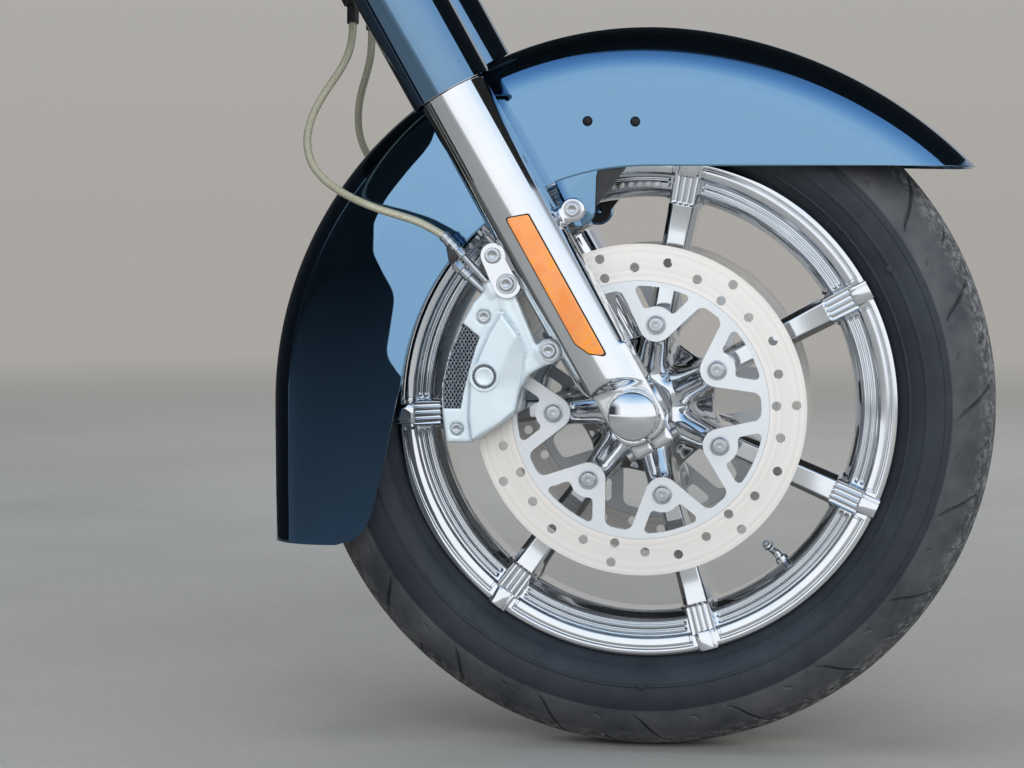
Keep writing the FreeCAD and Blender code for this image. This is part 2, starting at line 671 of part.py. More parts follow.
def pinch_bolts():
    """Bolts across the slits of both feet."""
    bolts = []
    long = PINCH_BOLT_R
    for side in (-1, 1):
        at = V(-PINCH_HALF - long, side * LEG_Y, -PINCH_DROP + PINCH_BOLT_R + PINCH_EDGE)
        for start in (at, at + V(2 * PINCH_HALF + long, 0, 0)):
            bolts.append(placed(Part.makeCylinder(PINCH_BOLT_R, long, start, V(1, 0, 0)), LEG))
    save("pinch_bolts", *bolts)


def axle():
    end = foot_face() - 1
    save("axle", across(AXLE_R, -end, end))
    spacers = []
    for side in (-1, 1):
        y0 = side * (HUB_HALF + SEAL_GAP)
        y1 = side * (LEG_Y - FOOT_T / 2)
        spacers.append(across(SPACER_R, y0, y1).cut(across(AXLE_R, y0, y1)))
    save("axle_spacers", *spacers)
    ball = Part.makeSphere(CAP_R, V(0, CAP_TIP - CAP_R, 0))
    skirt = across(CAP_R, foot_face(), CAP_TIP - CAP_R)
    dome = ball.cut(block(-REACH, REACH, 0, CAP_TIP - CAP_R, -REACH, REACH)).fuse(skirt)
    dome = dome.removeSplitter()
    for name, side in SIDES:
        save("axle_cap_%s" % name, for_side(dome, side))


# Clamps, stem and steering head


def leg_at(u):
    """Where the left leg's centreline crosses a height on the steering axis, in its frame."""
    low = HEAD.inverse().multVec(LEG.multVec(V(LEG_AHEAD, LEG_Y, 0)))
    high = HEAD.inverse().multVec(LEG.multVec(V(LEG_AHEAD, LEG_Y, REACH)))
    share = (u - low.z) / (high.z - low.z)
    return low + (high - low) * share


def clamp(u, thick):
    """A clamp across both legs: an eye on each tube, a hub on the stem and a web between them."""
    eye = leg_at(u + thick / 2)
    pieces = [Part.makeCylinder(CLAMP_HUB_R, thick, V(0, 0, u))]
    run = math.hypot(eye.x, eye.y)
    turn = math.degrees(math.atan2(eye.y, eye.x))
    tools = [Part.makeCylinder(STEM_R, thick, V(0, 0, u))]
    for side in (-1, 1):
        pieces.append(Part.makeCylinder(EYE_R, thick, V(eye.x, side * eye.y, u)))
        web = block(0, run, -CLAMP_WEB / 2, CLAMP_WEB / 2, u, u + thick)
        web.rotate(V(0, 0, 0), V(0, 0, 1), side * turn)
        back = eye.x - EYE_R - EAR_OUT
        y = side * eye.y
        pieces += [web, block(back, eye.x, y - EAR_HALF, y + EAR_HALF, u, u + thick)]
        tools.append(block(back, eye.x, y - SLIT / 2, y + SLIT / 2, u, u + thick))
    body = placed(pieces[0].fuse(pieces[1:]).cut(tools), HEAD)
    tube = placed(Part.makeCylinder(TUBE_R, REACH, V(LEG_AHEAD, LEG_Y, 0)), LEG)
    return body.cut([tube, mirrored(tube)]).removeSplitter()


def stop_posts():
    """Two posts on the lower clamp that meet the head's tab at the steering limits."""
    reach = math.degrees(math.asin((STOP_TAB_HALF + STOP_R + STOP_GAP) / STOP_AT))
    posts = []
    for side in (-1, 1):
        a = math.radians(side * (STEER_LIMIT + reach))
        at = V(STOP_AT * math.cos(a), STOP_AT * math.sin(a), LOWER_U + LOWER_T - 6)
        posts.append(Part.makeCylinder(STOP_R, HEAD_GAP + 18, at))
    return [placed(p, HEAD) for p in posts]


def stop_shelf():
    """The front edge of the lower clamp, which carries the posts."""
    shelf = Part.makeCylinder(STOP_AT + STOP_R + 2, LOWER_T / 2, V(0, 0, LOWER_U + LOWER_T / 2))
    shelf = shelf.cut(Part.makeCylinder(STEM_R, LOWER_T, V(0, 0, LOWER_U)))
    return placed(shelf.cut(block(-REACH, 0, -REACH, REACH, LOWER_U, LOWER_U + LOWER_T)), HEAD)


def clamps():
    lower = clamp(LOWER_U, LOWER_T).fuse([stop_shelf()] + stop_posts()).removeSplitter()
    save("lower_clamp", lower)
    upper = clamp(UPPER_U, UPPER_T)
    holes = []
    for side in (-1, 1):
        hole = Part.makeCylinder(RISER_R, UPPER_T, V(RISER_N, side * RISER_Y, UPPER_U))
        boss = Part.makeCylinder(RISER_R + RISER_BOSS, UPPER_T, V(RISER_N, side * RISER_Y, UPPER_U))
        upper = upper.fuse(placed(boss, HEAD))
        holes.append(placed(hole, HEAD))
    save("upper_clamp", upper.cut(holes).removeSplitter())


def steering_stem():
    top = UPPER_U + UPPER_T
    stem = Part.makeCylinder(STEM_R, top + NUT_T + STEM_OVER - LOWER_U, V(0, 0, LOWER_U))
    flange = Part.makeCylinder(STEM_R + FLANGE_STEP, STEM_FOOT, V(0, 0, LOWER_U - STEM_FOOT))
    save("steering_stem", placed(stem.fuse(flange).removeSplitter(), HEAD))
    ring = [V(NUT_R * math.cos(math.radians(60 * k)), NUT_R * math.sin(math.radians(60 * k)), top)
            for k in range(6)]
    nut = outline(*ring).extrude(V(0, 0, NUT_T))
    nut = nut.cut(Part.makeCylinder(STEM_R, NUT_T, V(0, 0, top)))
    save("stem_nut", placed(nut, HEAD))


def down_socket(side):
    """One of the two sockets for the frame's down tubes: its outside, and its bore."""
    top = HEAD.multVec(V(DOWN_AT[0], side * DOWN_Y, BACKBONE_U + DOWN_AT[1]))
    lean = math.radians(DOWN_LEAN)
    way = V(-math.sin(lean), 0, -math.cos(lean))
    mouth = top + way * (DOWN_REACH - DOWN_DEPTH)
    return (Part.makeCylinder(DOWN_R, DOWN_REACH, top, way),
            Part.makeCylinder(DOWN_BORE_R, DOWN_DEPTH, mouth, way))


def steering_head():
    """The frame's neck: a head tube, a backbone socket and two down-tube sockets."""
    low = LOWER_U + LOWER_T + HEAD_GAP
    high = UPPER_U - HEAD_GAP
    tube = Part.makeCylinder(HEAD_R, high - low, V(0, 0, low))
    cups = [Part.makeCylinder(CUP_R, CUP_T, V(0, 0, low)),
            Part.makeCylinder(CUP_R, CUP_T, V(0, 0, high - CUP_T))]
    tab = block(0, STOP_AT + STOP_R + 3, -STOP_TAB_HALF, STOP_TAB_HALF, low, low + 16)
    body = placed(tube.fuse(cups + [tab]), HEAD)
    mouth = ORIGIN
    front = mouth + V(GUSSET_FROM, 0, 0)
    gusset = [HEAD.multVec(V(0, 0, BACKBONE_U + GUSSET_UP)), front + V(0, 0, BACKBONE_R - GUSSET_EDGE),
              front - V(0, 0, BACKBONE_R), HEAD.multVec(V(GUSSET_KNEE[0], 0, BACKBONE_U + GUSSET_KNEE[1])),
              HEAD.multVec(V(0, 0, BACKBONE_U - GUSSET_DOWN))]
    plate = outline(*[p + V(0, -GUSSET_HALF, 0) for p in gusset]).extrude(V(0, 2 * GUSSET_HALF, 0))
    pieces = [plate, Part.makeCylinder(BACKBONE_R, BACKBONE_BACK, mouth, V(1, 0, 0))]
    tools = [placed(bearing_bore(low, high), HEAD),
             Part.makeCylinder(BACKBONE_BORE_R, BACKBONE_DEPTH, mouth, V(1, 0, 0))]
    for side in (-1, 1):
        outer, bore = down_socket(side)
        pieces.append(outer)
        tools.append(bore)
    save("steering_head", body.fuse(pieces).cut(tools).removeSplitter())


def bearing_bore(low, high):
    """The stem's bore: a close land at each end and a wider middle."""
    bore = Part.makeCylinder(STEM_R + RUNNING_GAP, high - low, V(0, 0, low))
    middle = Part.makeCylinder(STEM_R + 5, high - low - 2 * LAND, V(0, 0, low + LAND))
    return bore.fuse(middle)


# Mudguard


def guard_side(shrink):
    """Side view of the mudguard's crown, closed well below its lower edge."""
    turn = math.radians(GUARD_NOSE_FROM)
    centre = polar(GUARD_R - GUARD_NOSE_R, GUARD_NOSE_FROM)
    r = GUARD_R - shrink
    nose_r = GUARD_NOSE_R - shrink
    y = -GUARD_HALF + shrink
    floor = GUARD_FRONT_Z - GUARD_RUN
    low = GUARD_REAR_Z - GUARD_RUN
    inside = -(GUARD_EDGE_R - 1.5 * GUARD_RUN)
    tip_x = centre.x + math.sqrt(nose_r ** 2 - (floor - centre.z) ** 2)
    tip_angle = math.degrees(math.atan2(floor - centre.z, tip_x - centre.x))
    between = (tip_angle + GUARD_NOSE_FROM) / 2
    start = V(r * math.cos(turn), y, r * math.sin(turn))
    middle = centre + polar(nose_r, between)
    back = (GUARD_NOSE_FROM + 180) / 2
    return outline(
        V(tip_x, y, floor), (V(middle.x, y, middle.z), start),
        (polar(r, back, y), V(-r, y, 0)), V(-r, y, low), V(inside, y, low), V(inside, y, floor))


def guard_solid(shrink):
    """The mudguard's outer form, less a skin: its side view, wide, with rounded shoulders."""
    body = guard_side(shrink).extrude(V(0, 2 * (GUARD_HALF - shrink), 0))
    half = GUARD_HALF - shrink
    crown = chosen_edges(body, lambda e: shoulder(e, half))
    return body.makeFillet(GUARD_CORNER - shrink, crown)


def shoulder(edge, half):
    """True for an edge of the crown, on either side."""
    middle = edge.valueAt((edge.FirstParameter + edge.LastParameter) / 2)
    at_side = abs(abs(middle.y) - half) < 1e-3
    outside = math.hypot(middle.x, middle.z) > GUARD_R - 20
    level = all(abs(v.Point.z - (GUARD_REAR_Z - GUARD_RUN)) < 1e-3 for v in edge.Vertexes)
    return at_side and outside and not level


def guard_below():
    """All that lies under the mudguard's edge, in side view."""
    y = -GUARD_HALF - GUARD_RUN
    r = GUARD_EDGE_R
    far = GUARD_NOSE_R
    low = GUARD_REAR_Z
    long, high = REAR_CORNER
    rear = V(-r - REAR_BACK, y, low + high)
    bend = rear + V(-long * 0.2, 0, -high * 0.65)
    return outline(
        V(far, y, GUARD_FRONT_Z), V(EDGE_BEGIN, y, GUARD_FRONT_Z),
        (polar(r, GUARD_EDGE[0], y), polar(r, GUARD_EDGE[1], y)), rear, (bend, rear - V(long, 0, high)),
        V(-far, y, low), V(-far, y, low - 2 * GUARD_RUN), V(far, y, low - 2 * GUARD_RUN)).extrude(
            V(0, -2 * y, 0))


def guard_bolt_at():
    return LEG.multVec(V(GUARD_LUG[0], 0, GUARD_LUG[1]))


def mudguard():
    skin = guard_solid(0).cut(guard_solid(GUARD_T))
    skin = skin.cut(guard_below())
    at = guard_bolt_at()
    tabs = []
    holes = []
    for side in (-1, 1):
        y0 = side * (GUARD_HALF - GUARD_T)
        y1 = side * GUARD_HALF
        tabs.append(across(TAB_R, y0, y1, at.x, at.z))
        tabs.append(block(at.x - TAB_R, at.x + TAB_R, min(y0, y1), max(y0, y1), at.z,
                          GUARD_FRONT_Z + TAB_OVER))
        holes.append(across(BOLT_R, y0, y1, at.x, at.z))
        for x, z in RIVETS:
            holes.append(across(RIVET_R * RIVET_PIN, y0, y1, x, z))
    save("mudguard", skin.fuse(tabs).cut(holes).removeSplitter())


def guard_brackets():
    """A stay inside each side panel, from the rivets down to the fork's lug."""
    at = guard_bolt_at()
    y1 = GUARD_HALF - GUARD_T
    y0 = y1 - STAY_T
    rear, front = RIVETS
    high = max(rear[1], front[1]) + STAY_MARGIN
    low = min(rear[1], front[1]) - STAY_MARGIN
    plate = slab(((at.x - STAY_R, at.z), (at.x + STAY_R, at.z), (front[0] + STAY_END, low),
                  (front[0] + STAY_END, high), (rear[0] - STAY_END, high),
                  (rear[0] - STAY_END, low)), y0, y1)
    plate = plate.fuse(across(STAY_R, y0, y1, at.x, at.z))
    tools = [across(BOLT_R, y0, y1, at.x, at.z)]
    tools += [across(RIVET_R * RIVET_PIN, y0, y1, x, z) for x, z in RIVETS]
    plate = plate.cut(tools).removeSplitter()
    save("mudguard_stays", plate, mirrored(plate))
    pins = []
    for x, z in RIVETS:
        pin = across(RIVET_R * RIVET_PIN, y0, GUARD_HALF, x, z)
        head = across(RIVET_R, GUARD_HALF, GUARD_HALF + RIVET_HEAD, x, z)
        pins.append(pin.fuse(head).removeSplitter())
    face = LEG_Y + LUG_SEAT
    head = across(LUG_HEAD[0], face, face + LUG_HEAD[1], at.x, at.z)
    pins.append(across(BOLT_R, y0, face, at.x, at.z).fuse(head).removeSplitter())
    save("mudguard_bolts", *(pins + [mirrored(p) for p in pins]))


# Brakes


def crease_cut(start, end):
    """What the cover loses where it slopes away in front of one run of its crease."""
    top = CALIPER_OUT + PISTON_COVER
    way = V(end[0] - start[0], 0, end[1] - start[1])
    out = V(-way.z, 0, way.x).normalize() * CALIPER_OUT
    foot = V(start[0], top, start[1]) - way
    wedge = outline(foot, foot + out, foot + out - V(0, CREASE_FALL * CALIPER_OUT, 0))
    return wedge.extrude(way * 3)


def caliper():
    """A fixed caliper, drawn for the left: two halves joined over the disc's edge."""
    outer = slab(CALIPER_BODY, CALIPER_OUT - CALIPER_HALF_T, CALIPER_OUT)
    inner = slab(CALIPER_BODY, CALIPER_IN, CALIPER_IN + CALIPER_HALF_T)
    bridge = slab(CALIPER_BODY, CALIPER_IN, CALIPER_OUT)
    bridge = bridge.cut(across(DISC_R + BRIDGE_GAP, CALIPER_IN, CALIPER_OUT))
    arm = slab(CALIPER_ARM, CALIPER_OUT - EAR_T, CALIPER_OUT)
    face = CALIPER_OUT + PISTON_COVER
    cover = slab(CALIPER_COVER, CALIPER_OUT, face)
    cover = cover.cut([crease_cut(a, b) for a, b in zip(CREASE, CREASE[1:])])
    ring = across(RING[2], face, face + RING_HIGH, RING[0], RING[1])
    ring = ring.cut(across(RING[2] - RING_WIDE, face, face + RING_HIGH, RING[0], RING[1]))
    pieces = [inner, bridge, arm, cover, ring]
    tools = []
    for s, t, radius in CALIPER_LUGS[:2]:
        at = LEG.multVec(V(s, 0, t))
        pieces.append(across(radius, CALIPER_OUT - EAR_T, CALIPER_OUT, at.x, at.z))
        tools.append(across(BOLT_R, CALIPER_OUT - EAR_T, CALIPER_OUT, at.x, at.z))
        tools.append(across(radius + 1, CALIPER_IN - 1, CALIPER_OUT - EAR_T, at.x, at.z))
    tools.append(slab(MESH, CALIPER_OUT - MESH_DEEP, CALIPER_OUT + 1))
    return outer.fuse(pieces).cut(tools).removeSplitter()


def caliper_mesh():
    """The grille set in the caliper's rear edge."""
    y0 = CALIPER_OUT - MESH_DEEP
    return slab(MESH, y0, y0 + MESH_BAR).common(slab(CALIPER_BODY, y0, y0 + MESH_BAR))


def brake_pads():
    """Two pads, face to face with the caliper's halves and just clear of the disc."""
    low = DISC_Y - DISC_T / 2 - PAD_GAP
    high = DISC_Y + DISC_T / 2 + PAD_GAP
    far = CALIPER_OUT
    band = across(DISC_R - PAD_EDGES[0], 0, far).cut(across(DISC_INNER_R + PAD_EDGES[1], 0, far))
    shape = slab(CALIPER_BODY, 0, far).common(band)
    pads = []
    for y0, y1 in ((CALIPER_IN + CALIPER_HALF_T, low), (high, CALIPER_OUT - CALIPER_HALF_T)):
        pads.append(shape.common(block(-REACH, REACH, y0, y1, -REACH, REACH)))
    return Part.makeCompound(pads)


def link_plate():
    """The bright plate between the two upper bolts, which holds the hose's end."""
    y0 = CALIPER_OUT
    y1 = CALIPER_OUT + LINK_T
    ends = [LEG.multVec(V(s, 0, t)) for s, t, radius in CALIPER_LUGS[1:]]
    way = (ends[1] - ends[0]).normalize()
    out = V(-way.z, 0, way.x)
    corners = [ends[0] + out * LINK_ENDS[0], ends[1] + out * LINK_ENDS[1],
               ends[1] - out * LINK_ENDS[1], ends[0] - out * LINK_ENDS[0]]
    rounds = [across(r, y0, y1, e.x, e.z) for r, e in zip(LINK_ENDS, ends)]
    plate = slab([(c.x, c.z) for c in corners], y0, y1).fuse(rounds)
    holes = [across(BOLT_R, y0, y1, e.x, e.z) for e in ends]
    leg = Part.makeCylinder(SLIDER_R + LEG_GAP, SLIDER_TOP, V(LEG_AHEAD, LEG_Y, 0))
    return plate.cut(holes + [placed(leg, LEG)]).removeSplitter()


def caliper_bolts():
    bolts = []
    for k, (s, t, radius) in enumerate(CALIPER_LUGS):
        at = LEG.multVec(V(s, 0, t))
        face = CALIPER_OUT if k == 0 else CALIPER_OUT + LINK_T
        shank = across(BOLT_R, face - CALIPER_BOLT_LONG, face, at.x, at.z)
        head = across(CALIPER_HEAD[0], face, face + CALIPER_HEAD[1], at.x, at.z)
        bolts.append(shank.fuse(head).removeSplitter())
    return Part.makeCompound(bolts)


def brakes():
    pieces = (("caliper", caliper()), ("caliper_mesh", caliper_mesh()), ("brake_pads", brake_pads()),
              ("link_plate", link_plate()), ("caliper_bolts", caliper_bolts()))
    for name, side in SIDES:
        for piece, shape in pieces:
            save("%s_%s" % (piece, name), for_side(shape, side))


def hose_tube(name, route):
    """A hose along straight runs joined by arcs, each as large as its two runs allow."""
    edges = []
    radii = []
    here = route[0]
    for before, corner, after in zip(route, route[1:], route[2:]):
        a = before - corner
        b = after - corner
        turn = math.pi - a.getAngle(b)
        cut = 0.45 * min(a.Length, b.Length)
        radius = cut / math.tan(turn / 2)
        radii.append(radius)
        a.normalize()
        b.normalize()
        start = corner + a * cut
        end = corner + b * cut
        inward = a + b
        inward.normalize()
        middle = corner + inward * (radius / math.cos(turn / 2) - radius)
        edges.append(Part.LineSegment(here, start).toShape())
        edges.append(Part.Arc(start, middle, end).toShape())
        here = end
    edges.append(Part.LineSegment(here, route[-1]).toShape())
    path = Part.Wire(edges)
    circle = Part.Wire(Part.Circle(route[0], route[1] - route[0], HOSE_R).toShape())
    tube = path.makePipeShell([circle], True, False)
    share = tube.Volume / (math.pi * HOSE_R ** 2 * path.Length)
    print(name, "length %.0f, volume share %.4f, radii" % (path.Length, share),
          " ".join("%.0f" % r for r in radii))
    return tube


def ferrule(end, way, reach):
    return Part.makeCylinder(FERRULE_R, reach, end, way)


def junction_foot():
    """The middle of the junction's underside."""
    return HEAD.multVec(V(JUNCTION_AHEAD, 0, LOWER_U - JUNCTION_DROP))


def hose_route(side, offsets):
    """The hose's corners: from the junction to the caliper's union."""
    start = junction_foot() + V(HOSE_START[0], side * HOSE_START[1], HOSE_START[2])
    end = LEG.multVec(V(HOSE_END[0], side * HOSE_END[1], HOSE_END[2]))
    route = [start]
    for k, (dx, dy, dz) in enumerate(offsets):
        share = (k + 1.0) / (len(offsets) + 1)
        route.append(start + (end - start) * share + V(dx, side * dy, dz))
    return route + [end]


def hoses():
    """Both brake hoses, their ends at the calipers, and the block where they part."""
    under = LOWER_U - BRACKET_T
    back = JUNCTION_AHEAD - JUNCTION_BACK
    front = JUNCTION_AHEAD + JUNCTION_BACK
    body = block(back, front, -JUNCTION_HALF, JUNCTION_HALF, LOWER_U - JUNCTION_DROP, under)
    bracket = block(back, -STEM_R - 10, -BRACKET_HALF, BRACKET_HALF, under, LOWER_U)
    parts = [placed(body, HEAD), placed(bracket, HEAD)]
    for name, side, offsets in (("right", -1, RIGHT_HOSE), ("left", 1, LEFT_HOSE)):
        route = hose_route(side, offsets)
        hose = hose_tube("brake_hose_%s" % name, route)
        parts.append(ferrule(route[0], route[0] - route[1], JUNCTION_FERRULE))
        union = LEG.multVec(V(BANJO[0], side * (CALIPER_OUT - BANJO_IN), BANJO[1]))
        end = ferrule(route[-1], union - route[-1], (union - route[-1]).Length)
        save("brake_hose_%s" % name, hose)
        save("hose_end_%s" % name, end.cut(hose))
    save("hose_junction", parts[0].fuse(parts[1:]).removeSplitter())


def main():
    os.makedirs("parts", exist_ok=True)
    wheel()
    tyre()
    brake_discs()
    hub_bearings()
    valve_stem()
    fork_legs()
    pinch_bolts()
    axle()
    clamps()
    steering_stem()
    steering_head()
    mudguard()
    guard_brackets()
    brakes()
    hoses()


main()
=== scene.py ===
import math

import bmesh
import bpy
import mathutils
import numpy as np
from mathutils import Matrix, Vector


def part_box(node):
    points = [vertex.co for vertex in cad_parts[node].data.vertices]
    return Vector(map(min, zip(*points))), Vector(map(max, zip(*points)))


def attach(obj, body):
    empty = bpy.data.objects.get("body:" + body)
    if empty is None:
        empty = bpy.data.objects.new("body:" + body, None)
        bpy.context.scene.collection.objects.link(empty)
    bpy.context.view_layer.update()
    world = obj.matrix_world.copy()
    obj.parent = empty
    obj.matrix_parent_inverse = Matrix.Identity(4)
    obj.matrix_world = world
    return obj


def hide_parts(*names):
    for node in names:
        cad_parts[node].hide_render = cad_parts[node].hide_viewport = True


# Looks of a motorcycle's front end. Shapes are drawn about the axle in millimetres, X forward,
# Y to the rider's left, Z up, and moved to the frame in metres when a piece is made.

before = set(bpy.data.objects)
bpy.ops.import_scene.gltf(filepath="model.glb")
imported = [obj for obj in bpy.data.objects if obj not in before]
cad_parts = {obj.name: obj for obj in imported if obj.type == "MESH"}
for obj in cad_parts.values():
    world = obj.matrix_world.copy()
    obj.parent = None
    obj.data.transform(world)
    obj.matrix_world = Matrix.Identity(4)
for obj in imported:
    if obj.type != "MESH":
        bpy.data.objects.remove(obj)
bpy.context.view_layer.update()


AXLE = np.array([369.25, 0.0, -508.80])
LEG_TILT = math.radians(29.25)
LEG_AHEAD, LEG_Y = -4.5, 125.0
SPOKES, FIRST_SPOKE = 7, 28.0       # FIRST_SPOKE in degrees from +X
BOLT_CIRCLE = 78.6                  # radius
SIDES = (("right", -1), ("left", 1))

# Shapes. A shape is a pair: points (N, 3) and a list of faces.


def at(*p):
    return np.array(p, float)


def polar(radius, degrees, y=0.0):
    a = math.radians(degrees)
    return at(radius * math.cos(a), y, radius * math.sin(a))


def sector(middle, r0, r1, degrees, half0, half1):
    """Four (x, z) corners between two radii, so many degrees to each side of a direction."""
    corners = ((r0, -half0), (r1, -half1), (r1, half1), (r0, half0))
    ring = [middle + polar(r, degrees + turn) for r, turn in corners]
    return [(q[0], q[2]) for q in ring]


def spoke_angle(k):
    return FIRST_SPOKE + 360.0 * k / SPOKES


def from_leg(p):
    """From the leg's frame, tilted back about the axle, to the axle's."""
    p = np.asarray(p, float)
    s, y, t = p[..., 0], p[..., 1], p[..., 2]
    c, n = math.cos(LEG_TILT), math.sin(LEG_TILT)
    return np.stack([s * c - t * n, y, s * n + t * c], -1)


def unit(v):
    return v / np.linalg.norm(v)


def basis(axis):
    """Two directions square to an axis, and the axis."""
    ez = unit(np.asarray(axis, float))
    ref = at(0, 0, 1) if abs(ez[2]) < 0.9 else at(1, 0, 0)
    ex = unit(np.cross(ref, ez))
    return ex, np.cross(ez, ex), ez


def grid(points, wrap_u=False, wrap_v=False):
    """Quads over an (n, m, 3) array of points."""
    n, m = points.shape[:2]
    i = np.arange(n if wrap_u else n - 1)
    j = np.arange(m if wrap_v else m - 1)
    i, j = np.meshgrid(i, j, indexing="ij")
    i2, j2 = (i + 1) % n, (j + 1) % m
    quads = np.stack([i * m + j, i2 * m + j, i2 * m + j2, i * m + j2], -1).reshape(-1, 4)
    return points.reshape(-1, 3), quads.tolist()


def join(shapes):
    points, faces, base = [], [], 0
    for p, f in shapes:
        points.append(p)
        faces += [[k + base for k in face] for face in f]
        base += len(p)
    return np.concatenate(points), faces


def mirrored(shape):
    p, f = shape
    return p * at(1, -1, 1), [list(reversed(face)) for face in f]


def sided(shape, side):
    return shape if side > 0 else mirrored(shape)


def turned(shape, degrees):
    """The shape turned about the axle, from +X towards +Z."""
    p, f = shape
    a = math.radians(degrees)
    c, n = math.cos(a), math.sin(a)
    q = np.stack([p[:, 0] * c - p[:, 2] * n, p[:, 1], p[:, 0] * n + p[:, 2] * c], -1)
    return q, f


def lathe(profile, origin, axis, seg=64, corners=None):
    """(radius, height) points turned about an axis, where 0.01 closes the middle.
    Corners: how many flat sides each radius has, or None."""
    ex, ey, ez = basis(axis)
    a = np.arange(seg) * 2 * math.pi / seg
    rows = []
    for k, (r, h) in enumerate(profile):
        rr = np.full(seg, float(r))
        if corners and corners[k]:
            step = 2 * math.pi / corners[k]
            rr = r * math.cos(step / 2) / np.cos((a % step) - step / 2)
        rows.append(np.asarray(origin, float) + ez * h + np.outer(rr * np.cos(a), ex)
                    + np.outer(rr * np.sin(a), ey))
    return grid(np.stack(rows, 1), wrap_u=True)


def capped(stack):
    """Closed rings of points, one after the other, with a face at each end."""
    p, f = grid(stack, wrap_v=True)
    m = stack.shape[1]
    f.append(list(range(m)))
    f.append(list(reversed(range(len(p) - m, len(p)))))
    return p, f


def tube(line, radius, seg=12):
    """A round bar along points, closed at its ends. Radius is a number or one per point."""
    line = np.asarray(line, float)
    r = np.broadcast_to(np.asarray(radius, float), (len(line),))
    ways = np.gradient(line, axis=0)
    ways /= np.linalg.norm(ways, axis=1)[:, None]
    side = np.cross(ways[0], at(0.31, 0.17, 0.93))
    rings = []
    for k in range(len(line)):
        side = side - ways[k] * (side @ ways[k])
        side = side / np.linalg.norm(side)
        up = np.cross(ways[k], side)
        a = np.arange(seg) * 2 * math.pi / seg
        rings.append(line[k] + r[k] * (np.outer(np.cos(a), side) + np.outer(np.sin(a), up)))
    p, f = grid(np.stack(rings), wrap_v=True)
    f.append(list(reversed(range(seg))))
    f.append(list(range(len(p) - seg, len(p))))
    return p, f


def plate(points, y0, y1, bevel=1.0, steps=3):
    """A plate with an outline of (x, z) points, its edges rounded."""
    ring = np.array(points, float)
    area = np.sum(ring[:, 0] * np.roll(ring[:, 1], -1) - np.roll(ring[:, 0], -1) * ring[:, 1])
    if area < 0:
        ring = ring[::-1]
    before, after = ring - np.roll(ring, 1, 0), np.roll(ring, -1, 0) - ring
    before /= np.linalg.norm(before, axis=1)[:, None]
    after /= np.linalg.norm(after, axis=1)[:, None]
    n1 = np.stack([before[:, 1], -before[:, 0]], -1)
    n2 = np.stack([after[:, 1], -after[:, 0]], -1)
    out = n1 + n2
    out /= np.maximum(np.sum(out * n1, 1), 0.3)[:, None]
    rows = []
    for k in range(steps + 1):
        a = math.pi / 2 * k / steps
        rows.append((bevel * (1 - math.sin(a)), y1 - bevel * (1 - math.cos(a))))
    rows += [(d, y0 + (y1 - y)) for d, y in reversed(rows)]
    stack = [np.stack([ring[:, 0] - out[:, 0] * d, np.full(len(ring), y), ring[:, 1] - out[:, 1] * d], -1)
             for d, y in rows]
    return capped(np.stack(stack))


def rounded(points, radius):
    """An outline with its corners rounded."""
    steps = 5
    ring = [np.array(q, float) for q in points]
    out = []
    for k, corner in enumerate(ring):
        a, b = ring[k - 1] - corner, ring[(k + 1) % len(ring)] - corner
        la, lb = np.linalg.norm(a), np.linalg.norm(b)
        a, b = a / la, b / lb
        half = math.acos(max(-1, min(1, float(a @ b)))) / 2
        cut = min(radius / math.tan(half), 0.45 * la, 0.45 * lb)
        for j in range(steps + 1):
            t = j / steps
            out.append(corner + a * cut * (1 - t) ** 2 + b * cut * t ** 2)
    return [tuple(q) for q in out]


# Cast and machined forms: a distance field, and the surface where it is zero.


def smin(a, b, k):
    """The smaller of two distances, blended over a width of k millimetres."""
    h = np.clip(0.5 + 0.5 * (b - a) / k, 0, 1)
    return b + (a - b) * h - k * h * (1 - h)


def smax(a, b, k):
    return -smin(-a, -b, k)


def sd_rod(p, a, b, r, round_=1.0):
    """A cylinder from a to b with rounded edges."""
    a, b = np.asarray(a, float), np.asarray(b, float)
    length = np.linalg.norm(b - a)
    way = (b - a) / length
    q = p - (a + b) / 2
    h = q @ way
    rad = np.linalg.norm(q - h[:, None] * way, axis=1)
    d1, d2 = rad - r + round_, np.abs(h) - length / 2 + round_
    return np.minimum(np.maximum(d1, d2), 0) + np.hypot(np.maximum(d1, 0), np.maximum(d2, 0)) - round_


def sd_limb(p, a, b, ra, rb):
    """A bar from a to b with round ends, its radius changing from ra to rb."""
    a, b = np.asarray(a, float), np.asarray(b, float)
    way = b - a
    t = np.clip(((p - a) @ way) / (way @ way), 0, 1)
    return np.linalg.norm(p - a - t[:, None] * way, axis=1) - (ra + (rb - ra) * t)


def sd_box(p, middle, half, round_=1.0):
    q = np.abs(p - np.asarray(middle, float)) - np.asarray(half, float) + round_
    return np.minimum(q.max(1), 0) + np.linalg.norm(np.maximum(q, 0), axis=1) - round_


def sd_outline(p, ring):
    """Distance in the (x, z) plane to a closed outline, negative inside."""
    ring = np.array(ring, float)
    x, z = p[:, 0], p[:, 2]
    best = np.full(len(p), 1e9)
    inside = np.zeros(len(p), bool)
    for (ax, az), (bx, bz) in zip(ring, np.roll(ring, -1, 0)):
        ex, ez = bx - ax, bz - az
        t = np.clip(((x - ax) * ex + (z - az) * ez) / (ex * ex + ez * ez), 0, 1)
        best = np.minimum(best, (x - ax - t * ex) ** 2 + (z - az - t * ez) ** 2)
        if ez:
            hit = ((az > z) != (bz > z)) & (x < ax + (z - az) * ex / ez)
            inside ^= hit
    d = np.sqrt(best)
    return np.where(inside, -d, d)


